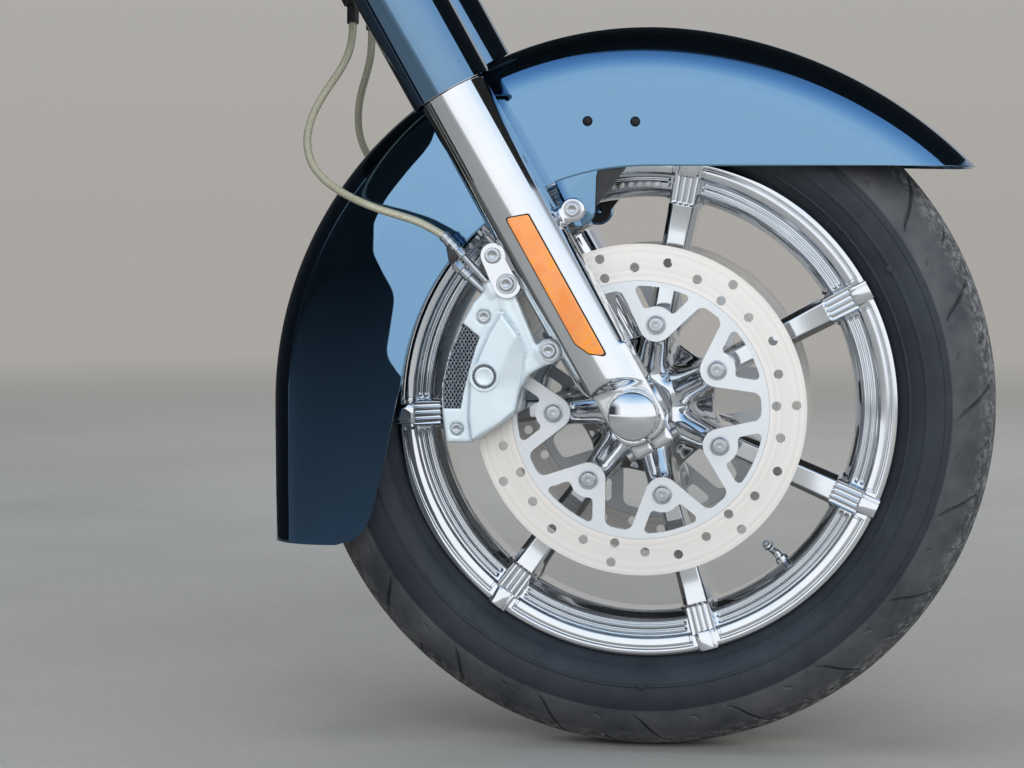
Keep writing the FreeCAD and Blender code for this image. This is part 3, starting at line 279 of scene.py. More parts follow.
def sd_slab(p, ring, y0, y1, round_=1.5, flat=None):
    """An outline extruded from y0 to y1, its edges rounded."""
    d1 = (sd_outline(p, ring) if flat is None else flat) + round_
    d2 = np.abs(p[:, 1] - (y0 + y1) / 2) - abs(y1 - y0) / 2 + round_
    return np.minimum(np.maximum(d1, d2), 0) + np.hypot(np.maximum(d1, 0), np.maximum(d2, 0)) - round_


def skin(field, low, high, step):
    """The surface of a field inside a box, as quads whose corners lie on it."""
    low, high = np.asarray(low, float), np.asarray(high, float)
    n = np.ceil((high - low) / step).astype(int) + 1
    axes = [low[k] + step * np.arange(n[k]) for k in range(3)]
    d = np.empty(n)
    for i, x in enumerate(axes[0]):
        y, z = np.meshgrid(axes[1], axes[2], indexing="ij")
        sheet = np.stack([np.full(y.size, x), y.ravel(), z.ravel()], -1)
        d[i] = field(sheet).reshape(n[1], n[2])
    size = n - 1
    total = int(np.prod(size))
    weight = np.zeros(total)
    place = np.zeros((total, 3))
    quads = []
    for a in range(3):
        b, c = (a + 1) % 3, (a + 2) % 3
        lo = [slice(None)] * 3
        hi = [slice(None)] * 3
        lo[a], hi[a] = slice(None, -1), slice(1, None)
        d0, d1 = d[tuple(lo)], d[tuple(hi)]
        index = np.argwhere((d0 < 0) != (d1 < 0))
        v0, v1 = d0[tuple(index.T)], d1[tuple(index.T)]
        spot = index.astype(float)
        spot[:, a] += v0 / (v0 - v1)
        around = []
        for ob, oc in ((0, 0), (-1, 0), (-1, -1), (0, -1)):
            cell = index.copy()
            cell[:, b] += ob
            cell[:, c] += oc
            good = np.all((cell >= 0) & (cell < size), 1)
            flat = (cell[:, 0] * size[1] + cell[:, 1]) * size[2] + cell[:, 2]
            weight += np.bincount(flat[good], minlength=total)
            for k in range(3):
                place[:, k] += np.bincount(flat[good], spot[good, k], minlength=total)
            around.append(np.where(good, flat, -1))
        around = np.stack(around, -1)
        whole = np.all(around >= 0, 1)
        face = around[whole]
        flip = (v0 < 0)[whole]
        face[~flip] = face[~flip][:, ::-1]
        quads.append(face)
    used = np.flatnonzero(weight)
    number = np.full(total, -1)
    number[used] = np.arange(len(used))
    p = low + step * place[used] / weight[used][:, None]
    for _ in range(3):
        g = slope(field, p)
        size2 = np.maximum(np.sum(g * g, 1), 0.05)
        move = g * (field(p) / size2)[:, None]
        far = np.linalg.norm(move, axis=1)[:, None]
        p = p - move * np.minimum(1, 0.6 * step / np.maximum(far, 1e-9))
    return p, number[np.concatenate(quads)].tolist()


def slope(field, p):
    """The field's gradient at each point."""
    h = 0.04
    out = np.empty_like(p)
    for k in range(3):
        e = np.zeros(3)
        e[k] = h
        out[:, k] = (field(p + e) - field(p - e)) / (2 * h)
    return out


# Materials, all from nodes


def node(tree, kind, links=(), **values):
    """A node with its inputs linked, and its settings and other inputs set."""
    made = tree.nodes.new(kind)
    for name, value in values.items():
        if hasattr(made, name):
            setattr(made, name, value)
        else:
            made.inputs[name.replace("_", " ")].default_value = value
    for name, source in dict(links).items():
        tree.links.new(source, made.inputs[name])
    return made


def math_node(operation, a, b=0.0, clamp=False):
    tree = a.id_data
    made = tree.nodes.new("ShaderNodeMath")
    made.operation = operation
    made.use_clamp = clamp
    for k, value in enumerate((a, b)):
        if isinstance(value, (int, float)):
            made.inputs[k].default_value = value
        else:
            tree.links.new(value, made.inputs[k])
    return made.outputs[0]


def spread(source, low, high, out_low=0.0, out_high=1.0):
    tree = source.id_data
    made = tree.nodes.new("ShaderNodeMapRange")
    tree.links.new(source, made.inputs[0])
    for k, value in enumerate((low, high, out_low, out_high)):
        made.inputs[k + 1].default_value = value
    return made.outputs[0]


def blend(share, a, b):
    """Mixes two colours, each a tuple or another node's output."""
    tree = share.id_data
    made = tree.nodes.new("ShaderNodeMix")
    made.data_type = "RGBA"
    tree.links.new(share, made.inputs[0])
    for k, value in ((6, a), (7, b)):
        if isinstance(value, tuple):
            made.inputs[k].default_value = value + (1.0,)
        else:
            tree.links.new(value, made.inputs[k])
    return made.outputs[2]


def noise(where, scale, detail=4.0, rough=0.55):
    made = node(where.id_data, "ShaderNodeTexNoise", {"Vector": where}, Scale=scale, Detail=detail,
                Roughness=rough)
    return made.outputs[0]


def start(name):
    """A new material, its node tree and shader, and the place on the object."""
    made = bpy.data.materials.new(name)
    made.use_nodes = True
    tree = made.node_tree
    where = tree.nodes.new("ShaderNodeTexCoord").outputs["Object"]
    return made, tree, tree.nodes["Principled BSDF"], where


def feed(shader, **inputs):
    """Sets inputs of a shader: each to a value, or from another node's output."""
    for name, value in inputs.items():
        socket = shader.inputs[name.replace("_", " ")]
        if isinstance(value, bpy.types.NodeSocket):
            shader.id_data.links.new(value, socket)
        else:
            socket.default_value = value


def bump(shader, height, strength, distance):
    made = node(shader.id_data, "ShaderNodeBump", {"Height": height}, Strength=strength, Distance=distance)
    feed(shader, Normal=made.outputs[0])


def finish_of(name, base, other, rough=(0.2, 0.35), scale=40.0, fine=900.0, grain=0.02, metal=0.0,
              coat=0.0, coat_rough=0.03, edge=None):
    """A paint, plating or plain metal: two tones, cloudy gloss, a fine grain and worn edges."""
    made, tree, shader, where = start(name)
    cloud = noise(where, scale, 5.0)
    share = spread(cloud, 0.35, 0.68)
    colour = blend(share, base, other)
    if edge:
        corner = tree.nodes.new("ShaderNodeBevel")
        corner.samples = 4
        corner.inputs["Radius"].default_value = edge[1]
        face = tree.nodes.new("ShaderNodeNewGeometry")
        turn = node(tree, "ShaderNodeVectorMath", operation="DOT_PRODUCT")
        tree.links.new(corner.outputs[0], turn.inputs[0])
        tree.links.new(face.outputs["Normal"], turn.inputs[1])
        worn = spread(turn.outputs["Value"], 0.97, 0.80)
        patch = spread(noise(where, scale * 6, 3.0), 0.42, 0.62)
        colour = blend(math_node("MULTIPLY", worn, patch, clamp=True), colour, edge[0])
    smudge = noise(where, scale * 2.3, 6.0, 0.6)
    feed(shader, Base_Color=colour, Roughness=spread(smudge, 0.3, 0.7, *rough), Metallic=metal,
         Coat_Weight=coat, Coat_Roughness=coat_rough)
    bump(shader, noise(where, fine, 2.0), grain, 0.0004)
    return made


def axle_distance(where):
    """Distance from the axle's line, in metres."""
    tree = where.id_data
    moved = node(tree, "ShaderNodeVectorMath", {0: where}, operation="SUBTRACT")
    moved.inputs[1].default_value = tuple(AXLE / 1000)
    flat = node(tree, "ShaderNodeVectorMath", {0: moved.outputs[0]}, operation="MULTIPLY")
    flat.inputs[1].default_value = (1, 0, 1)
    far = node(tree, "ShaderNodeVectorMath", {0: flat.outputs[0]}, operation="LENGTH")
    return far.outputs["Value"]


def rubber():
    made, _, shader, where = start("tyre_rubber")
    far = axle_distance(where)
    cloud = noise(where, 22.0, 6.0, 0.6)
    patch = noise(where, 120.0, 8.0, 0.75)
    # A light grey band near the crown, in patches: partly real scuffing, partly a painted sheen.
    scuff_and_sheen = math_node("MULTIPLY", spread(far, 0.302, 0.316),
                      spread(patch, 0.47, 0.60), clamp=True)
    tread = spread(far, 0.2785, 0.2800)
    dust = math_node("MULTIPLY", tread, spread(cloud, 0.32, 0.66, 0.35, 1.0), clamp=True)
    tone = blend(spread(cloud, 0.3, 0.7), (0.018, 0.022, 0.030), (0.030, 0.036, 0.046))
    tone = blend(dust, tone, (0.092, 0.094, 0.100))
    tone = blend(math_node("MULTIPLY", scuff_and_sheen, 0.8), tone, (0.34, 0.345, 0.34))
    feed(shader, Base_Color=tone, Roughness=spread(patch, 0.3, 0.7, 0.46, 0.72),
         Specular_IOR_Level=0.42)
    bump(shader, noise(where, 620.0, 3.0), 0.28, 0.0005)
    return made


def swept_steel():
    """A brake disc: rings swept by the pads, satin inside them, and tints from heat."""
    made, tree, shader, where = start("disc_swept_steel")
    far = axle_distance(where)
    ring = node(tree, "ShaderNodeCombineXYZ", {"X": far})
    lines = noise(ring.outputs[0], 2600.0, 3.0, 0.7)
    bands = noise(ring.outputs[0], 190.0, 3.0, 0.6)
    cloud = noise(where, 13.0, 4.0)
    swept = spread(far, 0.1165, 0.1175)
    inner = blend(spread(cloud, 0.3, 0.7), (0.74, 0.77, 0.80), (0.82, 0.84, 0.86))
    outer = blend(spread(bands, 0.35, 0.65), (0.80, 0.76, 0.72), (0.92, 0.88, 0.84))
    fine = spread(lines, 0.38, 0.66, 0.0, 0.30)
    outer = blend(fine, outer, (0.60, 0.56, 0.52))
    tone = blend(swept, inner, outer)
    # A thin dark ring where the swept band ends at its step: painted shade of the step.
    step = spread(math_node("ABSOLUTE", math_node("SUBTRACT", far, 0.1168)),
                  0.0, 0.0007, 1.0, 0.0)
    tone = blend(math_node("MULTIPLY", step, 0.5), tone, (0.30, 0.28, 0.26))
    feed(shader, Base_Color=tone, Roughness=spread(lines, 0.3, 0.7, 0.30, 0.46),
         Metallic=0.35, Anisotropic=0.4)
    bump(shader, lines, 0.16, 0.0002)
    return made


def navy_paint(name, low, high):
    """Deep blue metallic paint under a clear coat."""
    made, tree, shader, where = start(name)
    cells = node(tree, "ShaderNodeTexVoronoi", {"Vector": where}, Scale=2600.0)
    flake = spread(cells.outputs["Distance"], 0.0, 0.6)
    cloud = noise(where, 6.0, 3.0)
    deep = blend(spread(cloud, 0.3, 0.7), low, high)
    tone = blend(math_node("MULTIPLY", flake, 0.4), deep, (0.20, 0.38, 0.60))
    dirt = noise(where, 34.0, 6.0, 0.65)
    feed(shader, Base_Color=tone, Roughness=spread(dirt, 0.35, 0.75, 0.035, 0.075),
         Metallic=1.0, Coat_Weight=1.0, Coat_Roughness=0.02)
    bump(shader, noise(where, 55.0, 2.0), 0.012, 0.001)
    return made


def amber():
    made, tree, shader, where = start("amber_prism_lens_painted_glow")
    turn = node(tree, "ShaderNodeMapping", {"Vector": where})
    turn.inputs["Rotation"].default_value = (0, -LEG_TILT, 0)
    cells = node(tree, "ShaderNodeTexVoronoi", {"Vector": turn.outputs[0]}, feature="DISTANCE_TO_EDGE",
                 Scale=520.0, Randomness=0.0)
    cloud = noise(where, 38.0, 2.0)
    spots = noise(where, 520.0, 4.0, 0.7)
    speckle = math_node("MULTIPLY", spread(spots, 0.44, 0.56),
                        spread(cloud, 0.50, 0.58), clamp=True)
    tone = blend(spread(cloud, 0.35, 0.6), (0.80, 0.24, 0.045), (0.76, 0.30, 0.10))
    tone = blend(speckle, tone, (0.98, 0.30, 0.008))
    # The lens glows faintly in its own tone: painted light, as no lamp is inside it.
    feed(shader, Base_Color=tone, Roughness=0.22, Coat_Weight=0.6, Emission_Color=tone,
         Emission_Strength=0.16)
    bump(shader, cells.outputs["Distance"], 0.45, 0.0015)
    return made


def braid():
    """A clear sleeve over braided wire."""
    made, tree, shader, where = start("hose_clear_over_braid")
    cells = node(tree, "ShaderNodeTexVoronoi", {"Vector": where}, Scale=1500.0, Randomness=0.6)
    cloud = noise(where, 60.0, 4.0)
    low = blend(spread(cloud, 0.3, 0.7), (0.27, 0.25, 0.155), (0.40, 0.375, 0.25))
    tone = blend(spread(cells.outputs["Distance"], 0.1, 0.7), low, (0.56, 0.54, 0.42))
    feed(shader, Base_Color=tone, Roughness=spread(cloud, 0.3, 0.7, 0.30, 0.42),
         Metallic=0.25, Coat_Weight=0.8, Coat_Roughness=0.12)
    bump(shader, cells.outputs["Distance"], 0.25, 0.0004)
    return made


CHROME = (0.82, 0.84, 0.87)
LOOKS = {
    "wheel_chrome": finish_of("wheel_chrome_plate", CHROME, (0.76, 0.79, 0.83), (0.035, 0.085), 30.0, 500.0,
                              0.008, 1.0),
    "bright_chrome": finish_of("leg_chrome_plate", (0.86, 0.87, 0.89), (0.82, 0.84, 0.87), (0.03, 0.075),
                               18.0, 400.0, 0.006, 1.0),
    "clamp_black": finish_of("satin_black_casting", (0.014, 0.014, 0.016), (0.024, 0.024, 0.027),
                             (0.36, 0.5), 60.0, 1400.0, 0.25, 0.0, 0.15, 0.3,
                             ((0.09, 0.09, 0.095), 0.0012)),
    "frame_black": finish_of("gloss_black_frame", (0.011, 0.011, 0.013), (0.017, 0.017, 0.02), (0.2, 0.32),
                             30.0, 700.0, 0.06, 0.0, 0.8, 0.06, ((0.06, 0.06, 0.065), 0.001)),
    "bolt_black": finish_of("black_oxide_bolt", (0.02, 0.021, 0.024), (0.05, 0.05, 0.055), (0.3, 0.45),
                            120.0, 1500.0, 0.05, 0.8),
    "bolt_steel": finish_of("plated_bolt", (0.66, 0.69, 0.73), (0.54, 0.57, 0.61), (0.16, 0.3), 130.0,
                            1600.0, 0.05, 1.0),
    "plain_steel": finish_of("ground_steel", (0.52, 0.53, 0.55), (0.42, 0.42, 0.43), (0.25, 0.4), 90.0,
                             1200.0, 0.06, 1.0),
    "caliper_silver": finish_of("satin_silver_paint", (0.70, 0.80, 0.86), (0.78, 0.86, 0.90),
                                (0.30, 0.40), 26.0, 1500.0, 0.05, 0.35, 0.35, 0.2,
                                ((0.76, 0.82, 0.86), 0.0010)),
    "pad_dark": finish_of("pad_backing", (0.10, 0.095, 0.09), (0.19, 0.17, 0.15), (0.5, 0.7), 150.0, 900.0,
                          0.3, 0.6),
    "mesh_black": finish_of("grille_wire", (0.42, 0.45, 0.49), (0.30, 0.33, 0.37), (0.22, 0.4), 200.0,
                            2000.0, 0.05, 0.9),
    "tyre": rubber(),
    "disc_steel": swept_steel(),
    "guard_paint": navy_paint("guard_navy_paint", (0.132, 0.285, 0.455), (0.147, 0.305, 0.48)),
    # The covers take the mudguard's navy paint in a darker copy: painted shade, for the darker sky they
    # mirror.
    "cover_black": navy_paint("cover_navy_paint_with_painted_shade", (0.105, 0.205, 0.33), (0.12, 0.23, 0.36)),
    "amber_lens": amber(),
    "hose_braid": braid(),
}
# Near-black, laid as painted shade in recesses and hollows; the cards that only mirrors see use it too.
DARK = finish_of("dark_recess", (0.006, 0.006, 0.007), (0.012, 0.012, 0.013), (0.5, 0.7), 80.0, 900.0, 0.1)


def linked(name, data):
    """A new object in the scene."""
    made = bpy.data.objects.new(name, data)
    bpy.context.scene.collection.objects.link(made)
    return made


def piece(name, shape, body, slot, replaces=(), sharp=32.0, look=None, merge=True):
    """Makes a Blender object from a shape about the axle, riding on a CAD body.
    Edges sharper than so many degrees stay sharp."""
    p, f = shape
    mesh = bpy.data.meshes.new(name)
    mesh.from_pydata(((p + AXLE) / 1000).tolist(), [], f)
    if merge:
        work = bmesh.new()
        work.from_mesh(mesh)
        bmesh.ops.remove_doubles(work, verts=work.verts, dist=2e-6)
        bmesh.ops.dissolve_degenerate(work, edges=work.edges, dist=1e-7)
        work.to_mesh(mesh)
        work.free()
    mesh.validate()
    mesh.shade_smooth()
    mesh.set_sharp_from_angle(angle=math.radians(sharp))
    made = linked(name, mesh)
    mesh.materials.append(look or LOOKS[slot])
    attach(made, body)
    if replaces:
        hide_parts(*replaces)
    return made


def bolt(where, way, r, high, hole, washer, cone=0.8):
    """A socket-head bolt: chamfered head, a recess with six sides, and a washer under it."""
    profile, corners = [(0.01, -0.5)], [0]
    if washer:
        profile += [(washer, -0.5), (washer, 1.0), (washer - 0.4, 1.4), (r + 0.3, 1.4)]
        corners += [0] * 4
        base = 1.4
    else:
        profile += [(r, -0.5)]
        corners += [0]
        base = 0.0
    profile += [(r, base + 0.2), (r, base + high - cone), (r - cone * 0.35, base + high - cone * 0.25),
                (r - cone, base + high), (hole + 0.5, base + high), (hole, base + high - 0.4),
                (hole, base + high * 0.45), (hole * 0.9, base + high * 0.42), (0.01, base + high * 0.36)]
    corners += [0, 0, 0, 0, 0, 6, 6, 6, 0]
    return lathe(profile, where, way, 48, corners)


# Tyre


PITCHES, PITCH = 20, 18.0      # the tread repeats every 18 degrees
LEAN_AT = (0.0, 3.0, 5.0, 8.0, 12.2, 18.4, 27.4, 40.7, 54.9, 63.3, 72.0, 90.0)
LEAN = (16.8, 15.4, 14.3, 12.1, 9.6, 7.0, 5.3, 3.5, 1.6, 0.0, -0.8, -1.0)
LONG, SHORT, PIT = 0.0, 0.467, 0.578
FIRST_GROOVE = -1.7
PIT_R = 288


def tread_depth(across, column, far):
    """Depth below the crown at one distance from the centre line, and how wide the groove is."""
    long_deep = np.interp(across, (4.5, 9, 45, 57, 63.3, 63.6, 72, 73),
                          (0, 4.6, 4.4, 3.2, 0.9, 0.45, 0.35, 0))
    long_wide = np.interp(across, (4.5, 12, 22, 45, 57, 63.5, 72), (0.25, 0.8, 1.0, 1.0, 0.7, 0.18, 0.12))
    short_deep = np.interp(across, (5.5, 10, 30, 37.7), (0, 4.2, 4.0, 0))
    short_wide = np.interp(across, (5.5, 12, 24, 37.7), (0.25, 0.7, 1.0, 0.25))
    if column == "long":
        return long_deep, long_wide
    if column == "short":
        return short_deep, short_wide
    pit = max(0.0, 1 - (far / 2.6) ** 2 - ((across - 58.3) / 2.6) ** 2)
    return 2.0 * pit ** 0.6, 1.0


def tyre():
    """Carcass, sidewall ribs and a tread whose grooves sweep back towards the crown."""
    crown_r, crown_mid = 68.6, 251.4                 # the crown's arc across the tyre
    wall_r, wall_mid, wall_out = 37.1, 266.3, 27.9   # each sidewall's arc
    sink = 0.85                                      # the sidewall below its ribs
    columns = []
    for name, centre, half in (("long", LONG, 0.028), ("short", SHORT, 0.022)):
        for offset, share in ((-half, 0), (-half * 0.72, 1), (0, 1.06), (half * 0.72, 1), (half, 0)):
            columns.append((centre, offset, share, name))
    for offset in (-0.030, -0.020, -0.010, 0.0, 0.010, 0.020, 0.030):
        columns.append((PIT, offset, 1, "pit"))
    for centre in (0.07, 0.12, 0.18, 0.24, 0.31, 0.37, 0.42, 0.52, 0.66, 0.72, 0.79, 0.86, 0.92):
        columns.append((centre, 0, 0, "plain"))
    columns.sort(key=lambda c: c[0] + c[1])

    def line(degrees, r, y, nr, ny, side):
        """One row of points round the tyre, its grooves cut along the surface's normal."""
        turns, drops = [], []
        shift = 0.0 if side > 0 else 0.5
        for centre, offset, share, name in columns:
            deep, wide = 0.0, 1.0
            if share:
                far = offset * PITCH * math.pi / 180 * PIT_R
                deep, wide = tread_depth(degrees, name, far)
            turns.append((centre + offset * (wide if name in ("long", "short") else 1) + shift) * PITCH)
            drops.append(deep * share)
        turns, drops = np.array(turns), np.array(drops)
        if side < 0:
            order = np.argsort(turns % PITCH, kind="stable")
            turns, drops = (turns % PITCH)[order], drops[order]
        a = np.concatenate([turns + PITCH * k for k in range(PITCHES)])
        a = np.radians(a + FIRST_GROOVE + np.interp(degrees, LEAN_AT, LEAN))
        d = np.tile(drops, PITCHES)
        rr, yy = r - nr * d, y - ny * d
        return np.stack([rr * np.cos(a), yy, rr * np.sin(a)], -1)

    across = [0, 0.8, 1.6, 2.6, 3.6, 4.5, 5.5, 7, 9, 10.5, 12, 14, 16, 18.4, 21, 24, 27.4, 31, 34.5, 37.7,
              41, 45, 49, 53, 55.2, 56.4, 57.6]
    rows = {-1: [], 1: []}
    for side in (-1, 1):
        for d in across:
            a = math.radians(d)
            rows[side].append(line(d, crown_mid + crown_r * math.cos(a), -side * crown_r * math.sin(a),
                                   math.cos(a), -side * math.sin(a), side))
        for psi in (55.3, 56.5, 58, 60, 62, 64.2, 65, 67, 69, 71, 73.4, 76, 79.4, 80.0, 83, 88, 93, 98, 102.5,
                    103.6, 104.8, 107.2, 108.4, 109.5, 114, 120, 127, 131, 132.2, 134.5, 136, 141, 147.7):
            lift = 0.0
            if psi < 79.6:
                lift = 0.75
            if 103.5 < psi < 108.5:
                lift = 0.9 if 104.5 < psi < 107.5 else 0.1
            if 132 < psi < 135:
                lift = 0.8
            a = math.radians(psi)
            reach = wall_r - sink + lift
            out = -side * (wall_out + reach * math.sin(a))
            rows[side].append(line(psi + 3.5, wall_mid + reach * math.cos(a), out, math.cos(a),
                                   -side * math.sin(a), side))
        for r, y in ((231.9, 43.0), (231.3, 41.8), (217, 41.8), (217, 29.8), (230.8, 32.8), (243, 42),
                     (255, 49.5), (268, 53), (281, 48), (300, 29)):
            rows[side].append(line(90, r, -side * y, 0, 0, side))
    inside = [line(90, 308, 0, 0, 0, 1)]
    stack = inside + rows[-1][::-1][:-1] + rows[1]
    shape = grid(np.stack(stack, 1), wrap_u=True, wrap_v=True)
    marks = []
    for k in range(3):
        for side in (-1, 1):
            mid = 270 + 120 * k
            ring = [polar(256.2 + dr, mid + da) for dr, da in ((0, -1.1), (4.0, 0), (0, 1.1), (-4.0, 0))]
            flat = [(q[0], q[2]) for q in ring]
            y0, y1 = (60.0, 64.9) if side > 0 else (-64.9, -60.0)
            marks.append(plate(flat, y0, y1, 0.6, 2))
    piece("tyre_with_tread", join([shape] + marks), "wheel", "tyre", ["tyre"], 40)


# Wheel


def rim():
    """The rim, its lip and panels: two grooves run between the spokes and end beside them."""
    rows = [(230.8, 42.8, 42.8), (230.8, 45.4, 45.4), (230.4, 46.3, 46.3), (229.4, 46.8, 46.8),
            (226.3, 46.8, 46.8), (225.3, 46.7, 46.6), (224.9, 46.6, 45.4), (224.3, 46.5, 43.6),
            (223.5, 46.3, 43.4), (222.9, 46.2, 44.6), (222.6, 46.1, 45.8), (222.0, 46.0, 46.0),
            (219.0, 45.35, 45.35), (216.0, 44.7, 44.7), (215.2, 44.4, 44.4), (214.6, 43.8, 43.8),
            (213.6, 42.2, 42.2), (212.6, 41.6, 41.6)]
    for r in np.linspace(212.0, 201.2, 19):
        plain = 37.6 + (r - 201.2) * 0.36
        rows.append((r, plain, plain - 1.35 * (1 - math.cos(4 * math.pi * (212.0 - r) / 10.8))))
    rows += [(200.8, 37.4, 37.4), (199.8, 36.8, 36.8), (198.8, 35.8, 35.8), (197.8, 33.6, 33.6),
             (196.2, 29.0, 29.0), (194.4, 24.0, 24.0), (193.0, 19.5, 19.5), (192.2, 14.0, 14.0),
             (192.0, 0.0, 0.0)]
    step = [0, 1.2, 2.2, 2.9, 3.2, 3.45, 3.7, 4.0, 4.3, 4.6, 4.9, 5.3, 5.7, 6.3, 6.9, 7.8, 9, 10.5, 12,
            13.5, 15, 16.5, 18, 19.5, 21, 22.5, 24]
    half = 180.0 / SPOKES
    angles = np.array(step + [2 * half - a for a in reversed(step[1:])])
    near = np.minimum(angles, 2 * half - angles)
    first = np.clip((near - 3.2) / 0.25, 0, 1)
    border = np.clip(1 - np.abs(near - 3.58) / 0.35, 0, 1) ** 0.5
    second = np.clip((near - 3.9) / 1.0, 0, 1)
    second = second * second * (3 - 2 * second)
    cells = []
    for k, (r, plain, grooved) in enumerate(rows):
        share = first if k < 16 else second
        dip = 2.4 * border if 8 < k < 14 else 0.0
        cells.append((np.full(len(angles), r), plain + (grooved - plain) * share - dip))
    outer = [(217.0, -42.8), (217.0, -27.8), (198.5, -18.8), (198.5, 18.8), (217.0, 27.8), (217.0, 42.8)]
    ring = [(np.full(len(angles), r), np.full(len(angles), y)) for r, y in outer]
    ring += cells + [(r, -y) for r, y in reversed(cells[:-1])]
    turn = np.concatenate([angles + spoke_angle(k) for k in range(SPOKES)])
    a = np.radians(turn)
    stack = []
    for r, y in ring:
        r, y = np.tile(r, SPOKES), np.tile(y, SPOKES)
        stack.append(np.stack([r * np.cos(a), y, r * np.sin(a)], -1))
    p, f = grid(np.stack(stack, 1), wrap_u=True, wrap_v=True)
    return p, [list(reversed(face)) for face in f]


SPOKE_TOP = 42.0           # a spoke's flat face, from the wheel's middle


def spoke_face(r):
    """Half the width of a spoke's flat face."""
    return 6.0 + 3.2 * (r - 23.8) / (197.5 - 23.8)


def spoke_row(r):
    """Cross-section of a spoke at one radius, with its fluted collar, in (across, side) pairs."""
    face = spoke_face(r)
    wide = face + 5.0
    top = SPOKE_TOP
    flare = 0.0
    if r > 182:
        flare = 10.5 * (1 - math.sqrt(max(0.0, 1 - min(1.0, (r - 182) / 11.0) ** 2)))
    collar = max(0.0, min(1.0, (r - 187.5) / 2.0)) * max(0.0, min(1.0, (216.5 - r) / 1.0))
    top += 0.0016 * max(0.0, min(r, 190.0) - 150.0) ** 2 + max(0.0, r - 190) * 0.075 + 0.5 * collar
    face += 1.6 * collar
    half = []
    count = 37
    for k in range(count):
        w = -face + 2 * face * k / (count - 1)
        u = (4.0 * k / (count - 1)) % 1.0
        ripple = 1.9 * collar * math.sqrt(max(0.0, 1 - (2 * u - 1) ** 2))
        edge = 0.55 * max(0.0, (abs(w) - face + 0.9) / 0.9) ** 2
        half.append((w, top - ripple * (0 if k in (0, count - 1) else 1) - edge))
    side = [(face + 0.5, top - 1.3), (face + 1.6, top - 4.0), (wide - 0.9, SPOKE_TOP - 12.4 + collar),
            (wide - 0.2, SPOKE_TOP - 14.2), (wide, SPOKE_TOP - 16.5)]
    side += [(wide + flare * (1 - (q / 25.5) ** 2), q) for q in (20.0, 12.0, 0.0)]
    back = list(reversed(side[:-1]))
    return (half + side + [(w, -y) for w, y in back + list(reversed(half))] + [(-w, -y) for w, y in side]
            + [(-w, y) for w, y in back])


def spokes():
    """Seven spokes with a stepped block where each meets the rim, on both sides."""
    stations = list(np.linspace(88, 180, 14)) + [183, 185, 186.6, 187.5, 188.2, 189, 189.8, 191, 193, 195,
                                                 197, 199, 201.5, 204, 207, 210, 213, 215.4, 216.4]
    rows = [[(r, y, w) for w, y in spoke_row(r)] for r in stations]
    caps = [grid(np.array(rows, float), wrap_v=True)]
    for side in (-1, 1):
        rows = []
        for r, drop, slim in ((213.0, 7.0, 0.8), (213.4, 1.2, 0.3), (214.2, 0.3, 0.0), (215.0, 0.0, 0.0),
                              (222.0, 0.0, 0.0), (229.5, 0.0, 0.0), (231.2, 0.35, 0.1), (232.0, 1.2, 0.4),
                              (232.3, 2.6, 0.9), (232.3, 7.5, 1.2)):
            top = 46.5 + (r - 214) * 0.128 - drop
            ring = [(-9.6, 38.5), (-9.6, top - 2.6), (-9.2, top - 1.7), (-8.0, top - 0.9), (-5.6, top - 0.2),
                    (-5.0, top), (4.9, top), (5.2, top - 0.15), (5.5, top - 0.9), (6.3, top - 0.95),
                    (6.6, top - 0.3), (8.6, top - 0.5), (9.4, top - 1.2), (9.6, top - 2.2), (9.6, 38.5)]
            wide = (9.6 - slim) / 9.6
            rows.append([(r, q, w * wide) for w, q in ring])
        caps.append(sided(capped(np.array(rows, float)), side))
    whole = join(caps)
    return join([turned(whole, spoke_angle(k)) for k in range(SPOKES)])


def hub_field(p):
    """Hub, its fourteen arms with their disc bosses, and the roots of the spokes."""
    y = np.abs(p[:, 1])
    pitch = 2 * math.pi / SPOKES
    turn = np.arctan2(p[:, 2], p[:, 0]) - math.radians(FIRST_SPOKE)
    turn = (turn + pitch / 2) % pitch - pitch / 2
    far = np.hypot(p[:, 0], p[:, 2])
    d = sd_rod(p, (0, -50, 0), (0, 50, 0), 36.0, 9.0)
    d = smin(d, sd_rod(p, (0, -62, 0), (0, 62, 0), 28.0, 1.2), 4.0)
    web = smax(smax((y - 50) * 0.656 + (far - 30) * 0.755, far - 63.0, 3.0), y - 46.0, 2.0)
    d = smin(d, web, 5.0)
    for k in (-1, 1, 0):
        q = np.stack([far * np.cos(turn - k * pitch), y, far * np.sin(turn - k * pitch)], -1)
        arm = sd_limb(q, (14, 37, 0), (70, 67, 0), 17.0, 12.0)
        boss = sd_rod(q, (BOLT_CIRCLE, 57, 0), (BOLT_CIRCLE, 83.4, 0), 13.3, 1.0)
        boss = smin(boss, sd_rod(q, (BOLT_CIRCLE, 50, 0), (BOLT_CIRCLE, 70, 0), 11.5, 6.0), 5.0)
        side = np.abs(q[:, 2])
        face = spoke_face(q[:, 0])
        flank = (side - face) * 0.942 + (y - SPOKE_TOP) * 0.336
        root = smax(smax(y - SPOKE_TOP, flank, 0.8), side - face - 5.0, 1.5)
        root = smax(smax(root, q[:, 0] - 90.0, 0.3), -q[:, 0], 0.3)
        d = smin(d, smin(arm, boss, 7.0), 13.0)
        d = smin(d, root, 15.0)
    d = smax(d, -sd_rod(p, (0, -70, 0), (0, 70, 0), 22.5, 0.5), 0.8)
    for side in (-1, 1):
        d = smax(d, -sd_rod(p, (0, side * 60.8, 0), (0, side * 66, 0), 25.2, 0.2), 0.3)
    return d


